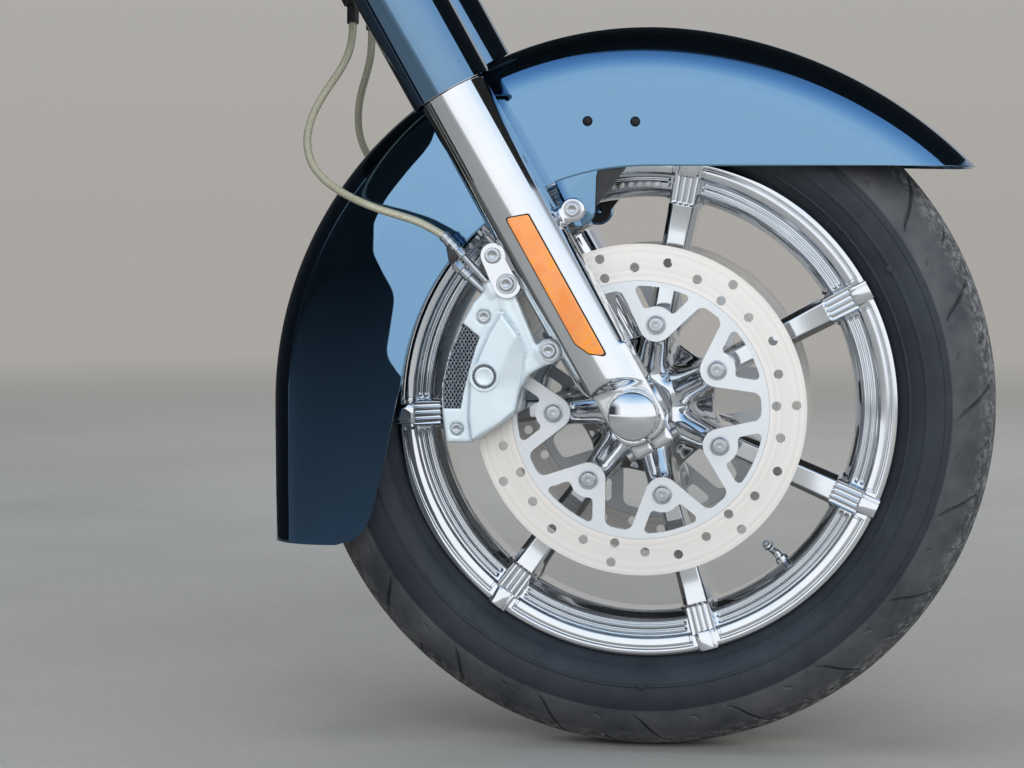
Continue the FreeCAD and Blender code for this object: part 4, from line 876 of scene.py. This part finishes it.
def wheel():
    """Rim, spokes, hub and a strip of balance weights."""
    piece("wheel_rim", rim(), "wheel", "wheel_chrome", ["wheel"], 38)
    piece("wheel_spokes", spokes(), "wheel", "wheel_chrome", ["wheel"], 34)
    hub = skin(hub_field, (-97, -85.5, -97), (97, 85.5, 97), 1.7)
    piece("wheel_hub", hub, "wheel", "wheel_chrome", ["wheel"], 60, merge=False)
    blocks = []
    for k in range(8):
        mid = 87.0 + 2.35 * k
        wide = 1.0 if k < 6 else 0.65
        blocks.append(plate(sector(at(0, 0, 0), 200.6, 207.0, mid, wide, wide), -39.4, -33.0, 0.7, 2))
    piece("balance_weights", join(blocks), "wheel", "plain_steel")


def discs():
    """Brake discs and their bolts' heads."""
    for name, side in SIDES:
        face = side * 88.5
        heads = []
        for k in range(SPOKES):
            spot = polar(BOLT_CIRCLE, spoke_angle(k), face)
            heads.append(lathe([(0.01, -1), (9.0, -1), (9.0, 0.9), (8.8, 1.25), (8.3, 1.35), (7.9, 1.1),
                                (7.6, 1.1), (7.3, 1.6), (6.9, 2.7), (6.2, 3.25), (5.4, 3.3), (3.1, 3.3),
                                (2.9, 3.0), (2.7, 1.2), (0.01, 1.1)], spot, at(0, side, 0), 48,
                               [0] * 11 + [6, 6, 6, 0]))
        piece("disc_bolt_heads_" + name, join(heads), "wheel", "bolt_steel", ["disc_bolts_" + name])
        carried("brake_disc_" + name, "disc_steel", 0.35)


def ease(it, width, angle):
    """Rounds the edges that are sharper than an angle."""
    made = it.modifiers.new("ease", "BEVEL")
    made.width = width / 1000
    made.segments = 2
    made.limit_method = "ANGLE"
    made.angle_limit = math.radians(angle)
    return made


def carried(name, slot, bevel):
    """A CAD node that stays as it is, with its material, smooth faces and eased edges."""
    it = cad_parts[name]
    it.data.materials.clear()
    it.data.materials.append(LOOKS[slot])
    it.data.shade_smooth()
    it.data.set_sharp_from_angle(angle=math.radians(30))
    ease(it, bevel, 50).harden_normals = True


def valve():
    """A valve stem bent sideways in the rim's well, with its nut and cap."""
    corner, tip = at(179, 0, 0), at(179 - 9, -19, 0)
    way = unit(tip - corner)
    stem = [at(192, 0, 0), at(186, 0, 0), at(181.5, -0.6, 0), at(179, -3, 0), corner + way * 9,
            corner + way * 13]
    shapes = [tube(stem, [4.0, 4.0, 4.0, 4.0, 4.0, 3.7], 20),
              lathe([(0.01, 0), (6.5, 0), (6.5, 2.6), (5.6, 3.6), (4.2, 4.6), (3.9, 6)], at(192, 0, 0),
                    at(-1, 0, 0), 40),
              lathe([(0.01, 0), (4.6, 0), (4.9, 0.5), (4.9, 2.0), (4.4, 2.6), (4.4, 7.6), (4.0, 8.6),
                     (3.0, 9.1), (0.01, 9.1)], corner + way * 12, way, 40)]
    piece("valve_and_cap", turned(join(shapes), -49.0), "wheel", "bright_chrome", ["valve_stem"])


# Mudguard

GUARD_R, NOSE_R, NOSE_FROM, GUARD_HALF, CORNER = 347.5, 439.7, 82.0, 85.0, 52.0
GUARD_T = 2.5
GUARD_LOW, GUARD_EDGE = 219.5, 8.0     # height of the straight lower edge, and where it begins
ARCH_R = 219.0
GUARD_REAR = -128.0                    # lowest point of the rear end
RIVETS = ((-48.3, 259.9), (-5.3, 259.3))
LUG = (39, 185)                        # in the leg's frame
LUG_FACE = 131
NOSE_MID = polar(GUARD_R - NOSE_R, NOSE_FROM)


def guard_outline():
    """Pairs of points in the side view: the crown, and the lower edge across from it."""
    pairs = []
    reach = math.degrees(math.asin((GUARD_LOW - NOSE_MID[2]) / NOSE_R))
    tip = NOSE_MID[0] + NOSE_R * math.cos(math.radians(reach))
    begin = at(GUARD_EDGE, 0, GUARD_LOW)
    for k in range(49):
        a = reach + (NOSE_FROM - reach) * k / 48
        top = NOSE_MID + polar(NOSE_R, a)
        share = 1 - k / 48.0
        pairs.append((top, at(GUARD_EDGE + (tip - GUARD_EDGE) * share ** 1.05, 0, GUARD_LOW)))
    for a in np.linspace(NOSE_FROM, 180, 58)[1:]:
        top = polar(GUARD_R, a)
        if a < 96:
            t = (a - NOSE_FROM) / 14.0
            low = begin * (1 - t) ** 2 + polar(ARCH_R + 0.6, 91) * 2 * t * (1 - t) + polar(ARCH_R, 96) * t * t
        else:
            low = polar(ARCH_R, min(a, 173) if a < 160 else 160 + (a - 160) * 0.65)
        pairs.append((top, low))
    start_low = pairs[-1][1]
    rear = [(start_low[0], start_low[2]), (-224, 5), (-233, -40), (-241, -72), (-244.5, -88), (-248, -101),
            (-254, -113), (-264, -122.5), (-281, GUARD_REAR)]
    high_z = np.array([0, -20, -52, -78, -94, -107, -118, -125, GUARD_REAR])
    for (x, z), zt in list(zip(rear, high_z))[1:]:
        pairs.append((at(-GUARD_R, 0, zt), at(x, 0, z)))
    return pairs


def guard_depth(x, z):
    """How far a point of the side view lies inside the crown."""
    angle = math.degrees(math.atan2(z, x))
    if z < 0:
        return GUARD_R + x
    if angle < NOSE_FROM:
        return NOSE_R - math.hypot(x - NOSE_MID[0], z - NOSE_MID[2])
    return GUARD_R - math.hypot(x, z)


def guard_half(depth):
    if depth >= CORNER:
        return GUARD_HALF
    e = max(0.0, depth)
    return GUARD_HALF - CORNER + math.sqrt(max(0.0, CORNER ** 2 - (CORNER - e) ** 2))


def guard_skin():
    """The mudguard's outer face, from its nose to its rear end."""
    rows = []
    for top, low in guard_outline():
        span = low - top
        side = []
        steps = [0, 0.004, 0.012, 0.025, 0.045, 0.07, 0.1, 0.14, 0.19, 0.25, 0.32, 0.4, 0.5, 0.62, 0.75, 0.88,
                 0.95, 0.982, 1.0]
        for t in steps:
            p = top + span * t
            y = guard_half(guard_depth(p[0], p[2]))
            side.append((p, y))
        left = [at(p[0], y, p[2]) for p, y in reversed(side)]
        middle = [at(top[0], y, top[2]) for y in (22.0, 11.0, 0.0, -11.0, -22.0)]
        right = [at(p[0], -y, p[2]) for p, y in side]
        rows.append(left + middle + right)
    return np.array(rows)


def mudguard():
    """Painted skin, rivets, tabs and stays."""
    made = piece("mudguard_painted", grid(guard_skin()), "fork", "guard_paint", ["mudguard"], 40)
    thick = made.modifiers.new("skin", "SOLIDIFY")
    thick.thickness = GUARD_T / 1000
    thick.offset = -1.0
    ease(made, 0.7, 60)
    heads = []
    for side in (-1, 1):
        for x, z in RIVETS:
            heads.append(lathe([(0.01, -0.4), (4.6, -0.4), (4.6, 0.3), (4.2, 1.2), (3.2, 1.9), (1.8, 2.2),
                                (0.01, 2.25)], at(x, side * GUARD_HALF, z), at(0, side, 0), 32))
    piece("mudguard_rivets", join(heads), "fork", "bolt_black", ["mudguard_bolts"])
    spot = from_leg(at(LUG[0], 0, LUG[1]))
    tabs, lugs = [], []
    for side in (-1, 1):
        below = [math.radians(-180 + 180.0 * k / 24) for k in range(25)]
        ring = [(spot[0] + 15 * math.cos(a), spot[2] + 15 * math.sin(a)) for a in below]
        ring += [(spot[0] + 16, spot[2] + 30), (spot[0] + 24, spot[2] + 62), (spot[0] - 30, spot[2] + 62),
                 (spot[0] - 22, spot[2] + 26)]
        y0, y1 = (82.5, 84.9) if side > 0 else (-84.9, -82.5)
        tabs.append(plate(ring, y0, y1, 0.6, 2))
        lugs.append(bolt(at(spot[0], side * LUG_FACE, spot[2]), at(0, side, 0), 6.4, 4.2, 3.0, 8.0))
    piece("mudguard_tabs", join(tabs), "fork", "guard_paint", ["mudguard"])
    piece("mudguard_lug_bolts", join(lugs), "fork", "bolt_steel", ["mudguard_bolts"])
    carried("mudguard_stays", "clamp_black", 0.3)


# Fork legs

CALIPER_LUGS = ((-41.5, 86.0, 11.0), (-45.0, 156.4, 11.0), (-43.5, 184.5, 9.5))


def slider_field(p):
    """A lower leg, in the leg's own frame."""
    d = sd_rod(p, (LEG_AHEAD, LEG_Y, 24), (LEG_AHEAD, LEG_Y, 415), 31.0, 1.2)
    d = smax(d, 97.5 - p[:, 1], 3.0)
    back = LEG_AHEAD - p[:, 0]
    d = smax(d, (back - 26.0) * 0.923 - (p[:, 2] - 34.0) * 0.385, 3.0)
    d = smax(d, (back - 17.0) * 0.664 - (p[:, 2] - 26.0) * 0.747, 3.0)
    chamfer = (p[:, 1] - 145.0) * 0.62 - (p[:, 2] - 28.0) * 0.785 - 0.10 * (p[:, 0] + 4.5)
    d = smax(d, chamfer, 1.2)
    foot = smax(np.hypot(p[:, 0], np.minimum(p[:, 2], 0)) - 28.0, np.abs(p[:, 0]) - 24.7, 5.0)
    foot = smax(foot, np.abs(p[:, 1] - LEG_Y) - 20.0, 2.2)
    foot = smax(foot, p[:, 2] - 62.0, 3.0)
    foot = smax(foot, -p[:, 2] - 27.0, 4.0)
    d = smin(d, foot, 2.5)
    clamp = sd_box(p, (0, LEG_Y, -18), (19.5, 11.0, 19.0), 4.0)
    d = smin(d, clamp, 3.0)
    d = smax(d, -sd_box(p, (0, LEG_Y, -40), (1.5, 30.0, 36.0), 0.3), 0.6)
    lug = sd_rod(p, (LUG[0], 85, LUG[1]), (LUG[0], LUG_FACE, LUG[1]), 10.7, 1.4)
    web = sd_box(p, (19, 108, LUG[1]), (20, 21.5, 7.5), 3.0)
    d = smin(d, smin(lug, web, 4.0), 5.0)
    for s, t, radius in CALIPER_LUGS:
        top = 112.0 if radius > 10 else 124.0
        ear = sd_rod(p, (s, top - 14, t), (s, top, t), radius, 1.2)
        web = sd_box(p, ((s - 4.5) / 2, top - 7, t), (abs(s + 4.5) / 2 + 1, 7.0, radius * 0.72), 2.0)
        d = smin(d, smin(ear, web, 3.0), 4.0)
        d = smax(d, -sd_rod(p, (s, top, t), (s, 170, t), radius + 3, 0.5), 0.8)
    d = smax(d, -sd_rod(p, (0, 90, 0), (0, 160, 0), 12.6, 0.3), 0.6)
    return smax(d, -sd_rod(p, (0, 142.6, 0), (0, 160, 0), 22.2, 0.2), 0.4)


def fork():
    """Lower legs, reflectors and axle caps, and the CAD nodes above them."""
    tall = skin(slider_field, (-60, 80, -42), (56, 160, 420), 1.6)
    tall = (from_leg(tall[0]), tall[1])
    lens = rounded([(-13.5, 205.5), (5.4, 199.0), (5.4, 57.5), (-7.0, 66.5), (-13.5, 80.0)], 3.0)
    p, f = plate(lens, 150.0, 160.4, 1.2)
    lens = (from_leg(p), [list(face) for face in f])
    seat = rounded([(-14.3, 206.9), (6.2, 200.0), (6.2, 56.0), (-7.6, 65.8), (-14.3, 79.6)], 3.0)
    p, f = plate(seat, 146.0, 158.6, 0.5)
    seat = (from_leg(p), f)
    dome = [(0.01, 142.0), (21.4, 142.0), (21.5, 146.0), (21.5, 161.8), (21.3, 162.6), (20.8, 163.2)]
    dome += [(38.0 * math.sin(math.radians(a)), 131.5 + 38.0 * math.cos(math.radians(a)))
             for a in range(32, 0, -2)] + [(0.01, 169.5)]
    for name, side in SIDES:
        piece("slider_chrome_" + name, sided(tall, side), "fork", "bright_chrome", ["slider_" + name], 60,
              merge=False)
        piece("reflector_lens_" + name, sided(lens, side), "fork", "amber_lens", ["reflector_" + name])
        # The seat round the lens is near-black: painted shade in the lens's recess.
        piece("reflector_seat_painted_shade_" + name, sided(seat, side), "fork", "amber_lens", look=DARK)
        cap = sided(lathe(dome, at(0, 0, 0), at(0, 1, 0), 96), side)
        piece("axle_cap_dome_" + name, cap, "fork", "bright_chrome", ["axle_cap_" + name])
        carried("fork_cover_" + name, "cover_black", 0.8)
        carried("fork_tube_" + name, "bright_chrome", 0.4)
    for name in ("steering_stem", "stem_nut", "axle", "axle_spacers", "pinch_bolts"):
        carried(name, "plain_steel", 0.4)
    carried("lower_clamp", "clamp_black", 1.5)
    carried("upper_clamp", "clamp_black", 1.2)
    carried("steering_head", "frame_black", 1.0)
    carried("hub_bearings", "plain_steel", 0.3)


# Brakes

BODY = ((-132, 113), (-147, 97), (-157, 79), (-168, 54), (-175.5, 22), (-175, 0), (-171, -28),
        (-147, -28), (-127, -15), (-110, -3), (-105, 20), (-97, 33), (-101, 55), (-107, 80), (-118, 103))
ARM = ((-110, 108), (-90, 60), (-78, 44), (-97, 33), (-112, 50), (-126, 112))
COVER = ((-120.3, 88.8), (-105.8, 69.3), (-100, 53), (-104, 26), (-109, 1), (-126, -13), (-147.5, -26),
         (-150, -4), (-148.7, 25), (-141, 49), (-131.5, 70))
CREASE = ((-124.6, -11.1), (-125.6, 6.1), (-125.8, 21.3), (-124.6, 28.4), (-120.7, 38.2), (-114.7, 53.5),
          (-107.5, 65.9), (-100.0, 76.0))
MESH = ((-155.6, 79), (-140.8, 66.7), (-144.7, 55.9), (-150.9, 35.8), (-155.6, 15.6), (-158, 2.4),
        (-180, 2.3), (-181, 20.1), (-178.4, 37.1), (-173.7, 54.1), (-166, 70))
BADGE = at(-135.5, 0, 31.9)
COVER_FACE = 131.0                     # the cover's top, from the machine's middle
CALIPER_OUT, CALIPER_IN = (99.5, 124.0), (48.5, 73.0)
COVER_BOLTS = ((-136.9, 84.9), (-161.6, -15.9))
GRILLE_BACK = MESH[:6] + ((-174.2, 2.4), (-174.6, 20.1), (-170.5, 41), (-164, 60), (-158, 74))


def caliper_field(p):
    """A caliper, drawn for the left: two halves, a bridge, an arm with ears and a raised cover."""
    flat = sd_outline(p, BODY)
    d = sd_slab(p, BODY, *CALIPER_OUT, 3.0, flat)
    d = np.minimum(d, sd_slab(p, BODY, *CALIPER_IN, 3.0, flat))
    far = np.hypot(p[:, 0], p[:, 2])
    bridge = smax(sd_slab(p, BODY, 48.5, 124.0, 3.0, flat), 155.5 - far, 1.0)
    d = smin(d, bridge, 1.5)
    arm = sd_slab(p, ARM, 112.0, 124.0, 2.5)
    for s, t, radius in CALIPER_LUGS[:2]:
        c = from_leg(at(s, 0, t))
        arm = smin(arm, sd_rod(p, (c[0], 112, c[2]), (c[0], 124, c[2]), radius, 1.5), 5.0)
    d = smin(d, arm, 3.0)
    cover = sd_slab(p, COVER, 118.0, COVER_FACE, 2.2)
    edge = np.interp(p[:, 2], [z for x, z in CREASE], [x for x, z in CREASE])
    fall = p[:, 1] - COVER_FACE + 0.34 * (p[:, 0] - edge)
    cover = smax(cover, fall * 0.94, 0.7)
    d = smin(d, cover, 2.0)
    groove = np.abs(sd_outline(p, COVER) - 1.1) - 0.7
    d = smax(d, -smax(groove, 123.0 - p[:, 1], 0.4), 0.6)
    d = smax(d, -sd_slab(p, MESH, 119.6, 132.0, 0.8), 0.8)
    union = sd_rod(p, (-126, 117, 104), (-133, 117, 116), 8.5, 1.5)
    d = smin(d, union, 3.0)
    for (x, z), r in zip(COVER_BOLTS, (6.8, 6.4)):
        d = smax(d, -sd_rod(p, (x, 121.8, z), (x, 130, z), r, 0.4), 0.5)
    return d


def weave():
    """The grille: wires over and under each other, cut to their window."""
    centre = np.mean(np.array(MESH), 0)
    shapes = []
    pitch, slant = 2.9, math.radians(31)
    for sign in (-1, 1):
        way = at(math.sin(slant) * sign, 0, math.cos(slant))
        side = at(math.cos(slant), 0, -math.sin(slant) * sign)
        for k in range(-24, 25):
            line = []
            for j in range(-90, 91):
                q = at(centre[0], 0, centre[1]) + side * pitch * k + way * (j * pitch / 4)
                if max(sd_outline(q[None], MESH)[0] - 1.0, sd_outline(q[None], BODY)[0] + 0.7) < 0:
                    wave = 0.55 * math.cos(math.pi * (j / 4.0) + math.pi * k) * sign
                    line.append(q + at(0, 121.4 + wave, 0))
                else:
                    if len(line) > 2:
                        shapes.append(tube(line, 0.66, 6))
                    line = []
    return join(shapes)


def brakes():
    """Calipers with their grilles, badges and bolts, link plates and pads."""
    body = skin(caliper_field, (-181, 44, -32), (-66, 134, 130), 1.35)
    wires = weave()
    ends = [from_leg(at(s, 0, t)) for s, t, r in CALIPER_LUGS]
    teeth = []
    for k in range(30):
        ring = sector(BADGE, 8.5, 10.7, 12 * k, 2.6, 2.2)
        teeth.append(plate(ring, COVER_FACE, COVER_FACE + 0.9, 0.3, 1))
    groove = lathe([(8.2, COVER_FACE), (8.2, COVER_FACE + 0.45), (11.0, COVER_FACE + 0.45),
                    (11.0, COVER_FACE)], BADGE, at(0, 1, 0), 64)
    badge = lathe([(0.01, 130.4), (13.8, 130.4), (13.8, 131.8), (13.2, 132.4), (11.9, 132.4), (11.2, 131.7),
                   (10.6, 131.3), (8.6, 131.3), (8.0, 131.9), (7.0, 132.1), (6.2, 131.7), (0.01, 131.9)],
                  BADGE, at(0, 1, 0), 64)
    for name, side in SIDES:
        piece("caliper_body_" + name, sided(body, side), "fork", "caliper_silver", ["caliper_" + name], 60,
              merge=False)
        piece("caliper_grille_" + name, sided(wires, side), "fork", "mesh_black", ["caliper_mesh_" + name])
        # A near-black plate behind the grille: painted shade in the caliper's hollow.
        back = plate(GRILLE_BACK, 119.0, 120.2, 0.3, 2)
        piece("caliper_grille_painted_shade_" + name, sided(back, side), "fork", "mesh_black", look=DARK)
        piece("caliper_ring_" + name, sided(badge, side), "fork", "caliper_silver")
        # A near-black ring in the badge's groove: painted shade.
        piece("caliper_ring_groove_painted_shade_" + name, sided(groove, side), "fork", "caliper_silver", look=DARK)
        piece("caliper_ring_teeth_" + name, sided(join(teeth), side), "fork", "caliper_silver",
              look=LOOKS["bolt_steel"])
        heads = [bolt(at(ends[0][0], 124, ends[0][2]), at(0, 1, 0), 6.6, 4.4, 3.2, 9.6, cone=1.2),
                 bolt(at(ends[1][0], 128, ends[1][2]), at(0, 1, 0), 6.6, 4.2, 3.2, 9.2, cone=1.2),
                 bolt(at(ends[2][0], 128, ends[2][2]), at(0, 1, 0), 7.2, 5.4, 3.6, 0, cone=1.0)]
        heads += [bolt(at(x, 121.6, z), at(0, 1, 0), r, 3.0, hole, 0)
                  for (x, z), r, hole in zip(COVER_BOLTS, (5.6, 5.2), (2.9, 2.6))]
        piece("caliper_bolt_heads_" + name, sided(join(heads), side), "fork", "bolt_steel",
              ["caliper_bolts_" + name])
        carried("link_plate_" + name, "bright_chrome", 0.6)
        carried("brake_pads_" + name, "pad_dark", 0.3)


# Hoses: their control points, about the axle

RIGHT_HOSE = ((-270.5, -46.0, 352.0), (-270.0, -50.0, 333.1), (-278.0, -58.0, 310.9), (-291.0, -68.0, 290.0),
              (-302.0, -78.0, 268.0), (-306.0, -88.0, 245.0), (-300.0, -97.0, 222.0),
              (-284.0, -104.0, 205.0), (-262.0, -109.0, 192.0), (-238.0, -113.0, 182.0),
              (-214.0, -115.0, 175.0), (-192.0, -116.5, 168.0), (-174.0, -117.5, 157.0))
LEFT_HOSE = ((-270.5, 46.0, 352.0), (-271.1, 50.0, 333.1), (-277.2, 57.0, 311.9), (-285.3, 66.0, 292.9),
             (-290.3, 76.0, 273.0), (-291.3, 87.0, 252.0), (-284.4, 96.0, 232.0), (-271.6, 103.0, 214.0),
             (-254.7, 109.0, 199.0), (-234.8, 113.0, 187.0), (-212.9, 115.0, 177.0),
             (-191.9, 116.5, 168.0), (-174.0, 117.5, 157.0))


def hoses():
    """Both hoses along the routes of the solids, with their ends."""
    for name, side, route, length in (("right", -1, RIGHT_HOSE, 0.293), ("left", 1, LEFT_HOSE, 0.272)):
        curve = bpy.data.curves.new("brake_hose_run_" + name, "CURVE")
        curve.dimensions = "3D"
        line = curve.splines.new("NURBS")
        line.points.add(len(route) - 1)
        for point, corner in zip(line.points, route):
            point.co = tuple((at(*corner) + AXLE) / 1000) + (1.0,)
        line.order_u = 3
        line.use_endpoint_u = True
        line.resolution_u = 8
        curve.bevel_depth = 0.0036
        curve.bevel_resolution = 5
        curve.use_fill_caps = True
        made = linked("brake_hose_run_" + name, curve)
        curve.materials.append(LOOKS["hose_braid"])
        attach(made, "fork")
        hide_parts("brake_hose_" + name)
        last = at(*route[-1])
        union = from_leg(at(-60.0, side * 117.0, 164.0))
        way = unit(union - last)
        reach = float(np.linalg.norm(union - last))
        crimp = lathe([(0.01, -1), (4.6, -1), (5.0, -0.4), (5.0, 3), (4.5, 3.5), (4.5, 5), (5.2, 5.5),
                       (5.2, 9.0), (4.6, 9.5), (4.6, 11.0), (5.2, 11.5), (5.2, 15.0), (4.6, 15.5),
                       (4.6, 17.5), (5.5, 18.0), (5.5, 24.5), (4.9, 25.2), (3.9, 26.0), (3.4, 27.5),
                       (3.4, reach - 10), (3.4, reach - 4), (0.01, reach - 4)], last, way, 40,
                      [0] * 14 + [6, 6, 0, 0, 0, 0, 0, 0])
        piece("hose_crimp_" + name, crimp, "fork", "plain_steel", ["hose_end_" + name],
              look=LOOKS["bolt_steel"])
        begin = at(-165.0, side * 117.5, 133.5)
        way = unit(at(-134.0, side * 117.0, 104.0) - begin)
        nut = lathe([(0.01, -1), (3.0, -1), (3.4, -0.4), (3.4, 2.0), (5.6, 2.4), (5.9, 3.0), (5.9, 9.6),
                     (5.4, 10.2), (4.4, 10.4), (4.4, 13.0), (5.0, 13.4), (5.0, 19.0), (4.4, 19.6),
                     (3.6, 20.2), (3.6, 37.0), (0.01, 37.0)], begin, way, 40,
                    [0] * 4 + [6, 6, 6, 6] + [0] * 8)
        piece("hose_union_" + name, nut, "fork", "plain_steel", look=LOOKS["bolt_steel"])
        clip = ((-171.5, 147.5), (-166.5, 150.5), (-160.5, 139.0), (-164.0, 131.5), (-169.0, 134.0))
        clip = plate(rounded(clip, 2.0), 112.5, 122.0, 0.8)
        piece("hose_clip_" + name, sided(clip, side), "fork", "clamp_black")
    carried("hose_junction", "clamp_black", 0.8)


# Camera, floor and light


def camera():
    """The photographer's place and lens, solved from the wheel."""
    made = bpy.data.cameras.new("photo_view")
    made.lens = 92.786
    made.sensor_width = 36.0
    made.clip_start, made.clip_end = 0.05, 200.0
    it = linked("photo_view", made)
    it.rotation_mode = "XYZ"
    it.rotation_euler = (math.radians(90) - 0.067, 0.0, 0.138)
    it.location = (0.58152, -2.45488, -0.32587)
    bpy.context.scene.camera = it


def lamp(name, where, aim, energy, size, colour=(1, 1, 1)):
    """A soft light that metal doesn't mirror."""
    made = bpy.data.lights.new(name, "AREA")
    made.energy = energy
    made.color = colour
    made.shape = "DISK"
    made.size = size
    it = linked(name, made)
    it.location = where
    it.rotation_euler = (mathutils.Vector(aim) - mathutils.Vector(where)).to_track_quat("-Z", "Y").to_euler()
    it.visible_glossy = False


def flag(name, corners, look):
    """A card that only mirrors see."""
    mesh = bpy.data.meshes.new(name)
    mesh.from_pydata(corners, [], [tuple(range(len(corners)))])
    card = linked(name, mesh)
    mesh.materials.append(look)
    card.visible_camera = False
    card.visible_diffuse = False
    card.visible_shadow = False


def dim_look():
    """A card that is black above and dark grey towards the ground."""
    made, tree, shader, where = start("dim_card")
    parts = node(tree, "ShaderNodeSeparateXYZ", {0: where})
    cloud = noise(where, 3.0, 3.0)
    light = spread(cloud, 0.3, 0.7, 0.8, 1.2)
    fade = math_node("MULTIPLY", spread(parts.outputs["Z"], -0.38, -0.66, 0.01, 0.12), light)
    tone = blend(cloud, (0.006, 0.006, 0.007), (0.012, 0.012, 0.013))
    feed(shader, Base_Color=tone, Emission_Strength=fade, Emission_Color=(0.85, 0.95, 1.1, 1))
    return made


def floor_look():
    """Pale concrete that glows, brighter towards the photographer and far off: painted light, as the floor is
    no lamp.
    """
    made, tree, shader, where = start("pale_floor")
    cloud = noise(where, 1.6, 6.0, 0.6)
    grit = noise(where, 130.0, 4.0, 0.7)
    tone = blend(spread(cloud, 0.3, 0.7), (0.36, 0.345, 0.32), (0.42, 0.405, 0.38))
    tone = blend(spread(grit, 0.35, 0.7, 0.0, 0.3), tone, (0.27, 0.26, 0.24))
    feed(shader, Base_Color=tone, Roughness=0.8)
    bump(shader, grit, 0.15, 0.002)
    parts = node(tree, "ShaderNodeSeparateXYZ", {0: where})
    near = spread(parts.outputs["Y"], -2.2, -5.5)
    span = node(tree, "ShaderNodeVectorMath", {0: where}, operation="LENGTH").outputs["Value"]
    far = spread(span, 2.2, 6.5)
    glow = node(tree, "ShaderNodeEmission")
    tree.links.new(blend(near, (0.40, 0.385, 0.36), (1.0, 1.04, 1.07)), glow.inputs["Color"])
    mix = tree.nodes.new("ShaderNodeMixShader")
    tree.links.new(math_node("MAXIMUM", near, far), mix.inputs[0])
    tree.links.new(shader.outputs[0], mix.inputs[1])
    tree.links.new(glow.outputs[0], mix.inputs[2])
    tree.links.new(mix.outputs[0], tree.nodes["Material Output"].inputs[0])
    return made


def sky():
    """A bright horizon on the photographer's side, a plain one behind, and a dark top."""
    world = bpy.data.worlds.new("studio_sky")
    bpy.context.scene.world = world
    world.use_nodes = True
    tree = world.node_tree
    where = tree.nodes.new("ShaderNodeTexCoord").outputs["Generated"]
    parts = node(tree, "ShaderNodeSeparateXYZ", {0: where})
    lift = spread(parts.outputs["Z"], -1.0, 1.0)

    def ramp(stops):
        made = tree.nodes.new("ShaderNodeValToRGB")
        tree.links.new(lift, made.inputs[0])
        bar = made.color_ramp.elements
        bar[0].position, bar[1].position = (stops[0][0] + 1) / 2, (stops[-1][0] + 1) / 2
        bar[0].color, bar[1].color = stops[0][1] + (1,), stops[-1][1] + (1,)
        for z, tone in stops[1:-1]:
            bar.new((z + 1) / 2).color = tone + (1,)
        return made.outputs[0]

    front = ramp(((-1.0, (0.4, 0.4, 0.4)), (0.0, (1.08, 1.1, 1.12)), (0.25, (1.08, 1.12, 1.15)),
                  (0.48, (0.98, 1.06, 1.14)), (0.64, (0.60, 0.80, 1.0)), (0.78, (0.34, 0.54, 0.82)),
                  (0.90, (0.22, 0.38, 0.62)), (0.93, (0.03, 0.035, 0.045)), (1.0, (0.02, 0.025, 0.03))))
    rear = ramp(((-1.0, (0.4, 0.385, 0.36)), (0.0, (0.40, 0.385, 0.36)), (0.12, (0.43, 0.42, 0.405)),
                 (0.45, (0.46, 0.47, 0.49)), (0.60, (0.20, 0.23, 0.28)), (0.72, (0.04, 0.05, 0.06)),
                 (1.0, (0.02, 0.025, 0.03))))
    side = spread(parts.outputs["Y"], 0.12, -0.12)
    tone = blend(side, rear, front)
    dim = math_node("MULTIPLY", spread(parts.outputs["X"], -0.55, -0.80),
                    spread(parts.outputs["Z"], 0.55, 0.30), clamp=True)
    tone = blend(dim, tone, (0.05, 0.055, 0.065))
    tree.links.new(tone, tree.nodes["Background"].inputs[0])
    tree.nodes["Background"].inputs[1].default_value = 1.0


def stage():
    """Floor, cards, sky and lamps. The rear card's curved edge shows in the mudguard's paint."""
    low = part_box("tyre")[0][2]
    back, ahead, over = -0.9, 1.3, 0.36
    mesh = bpy.data.meshes.new("studio_floor")
    far = 60.0
    mesh.from_pydata([(-far, -far, low), (far, -far, low), (far, far, low), (-far, far, low)], [],
                     [(0, 1, 2, 3)])
    floor = linked("studio_floor", mesh)
    mesh.materials.append(floor_look())
    edge = ((0.1785, low + 0.01), (0.1785, -0.52), (0.1395, -0.481), (0.1275, -0.464), (0.1315, -0.440),
            (0.1365, -0.407), (0.1255, -0.388), (0.1165, -0.370), (0.112, -0.336), (0.118, -0.311),
            (0.156, -0.253), (0.135, -0.20), (0.085, -0.10), (0.02, 0.0), (-0.17, over), (-0.8, over),
            (-0.8, low + 0.01))
    flag("studio_flag_rear", [(x, -0.13, z) for x, z in rounded(edge, 0.03)], dim_look())
    for near, deep in ((-0.34, -0.155), (-0.12, 3.0)):    # the slit between them is the thin light line
        flag("studio_flag_left", [(back, near, low + 0.01), (back, deep, low + 0.01), (back, deep, 1.7),
                                  (back, near, 1.7)], DARK)
    flag("studio_flag_top", [(back, -0.25, over), (ahead, -0.25, over), (ahead, 1.2, over),
                             (back, 1.2, over)], DARK)
    ground = finish_of("dark_ground", (0.085, 0.08, 0.07), (0.12, 0.11, 0.095), (0.7, 0.9), 9.0, 300.0)
    flag("studio_flag_ground", [(back, -0.2, low + 0.02), (ahead, -0.2, low + 0.02), (ahead, 0.9, low + 0.02),
                                (back, 0.9, low + 0.02)], ground)
    sky()
    lamp("top", (0.3, -0.6, 3.4), (0.35, 0, -0.4), 62.0, 3.2, (1.0, 0.99, 0.97))
    lamp("front", (1.3, -3.6, 1.3), (0.35, 0, -0.4), 78.0, 2.6, (1.0, 0.99, 0.97))
    lamp("behind", (0.4, 3.4, 1.6), (0.35, 0, -0.4), 45.0, 2.4)


camera()
stage()
tyre()
wheel()
discs()
valve()
mudguard()
fork()
brakes()
hoses()

view = bpy.context.scene.view_settings
view.view_transform = "Standard"
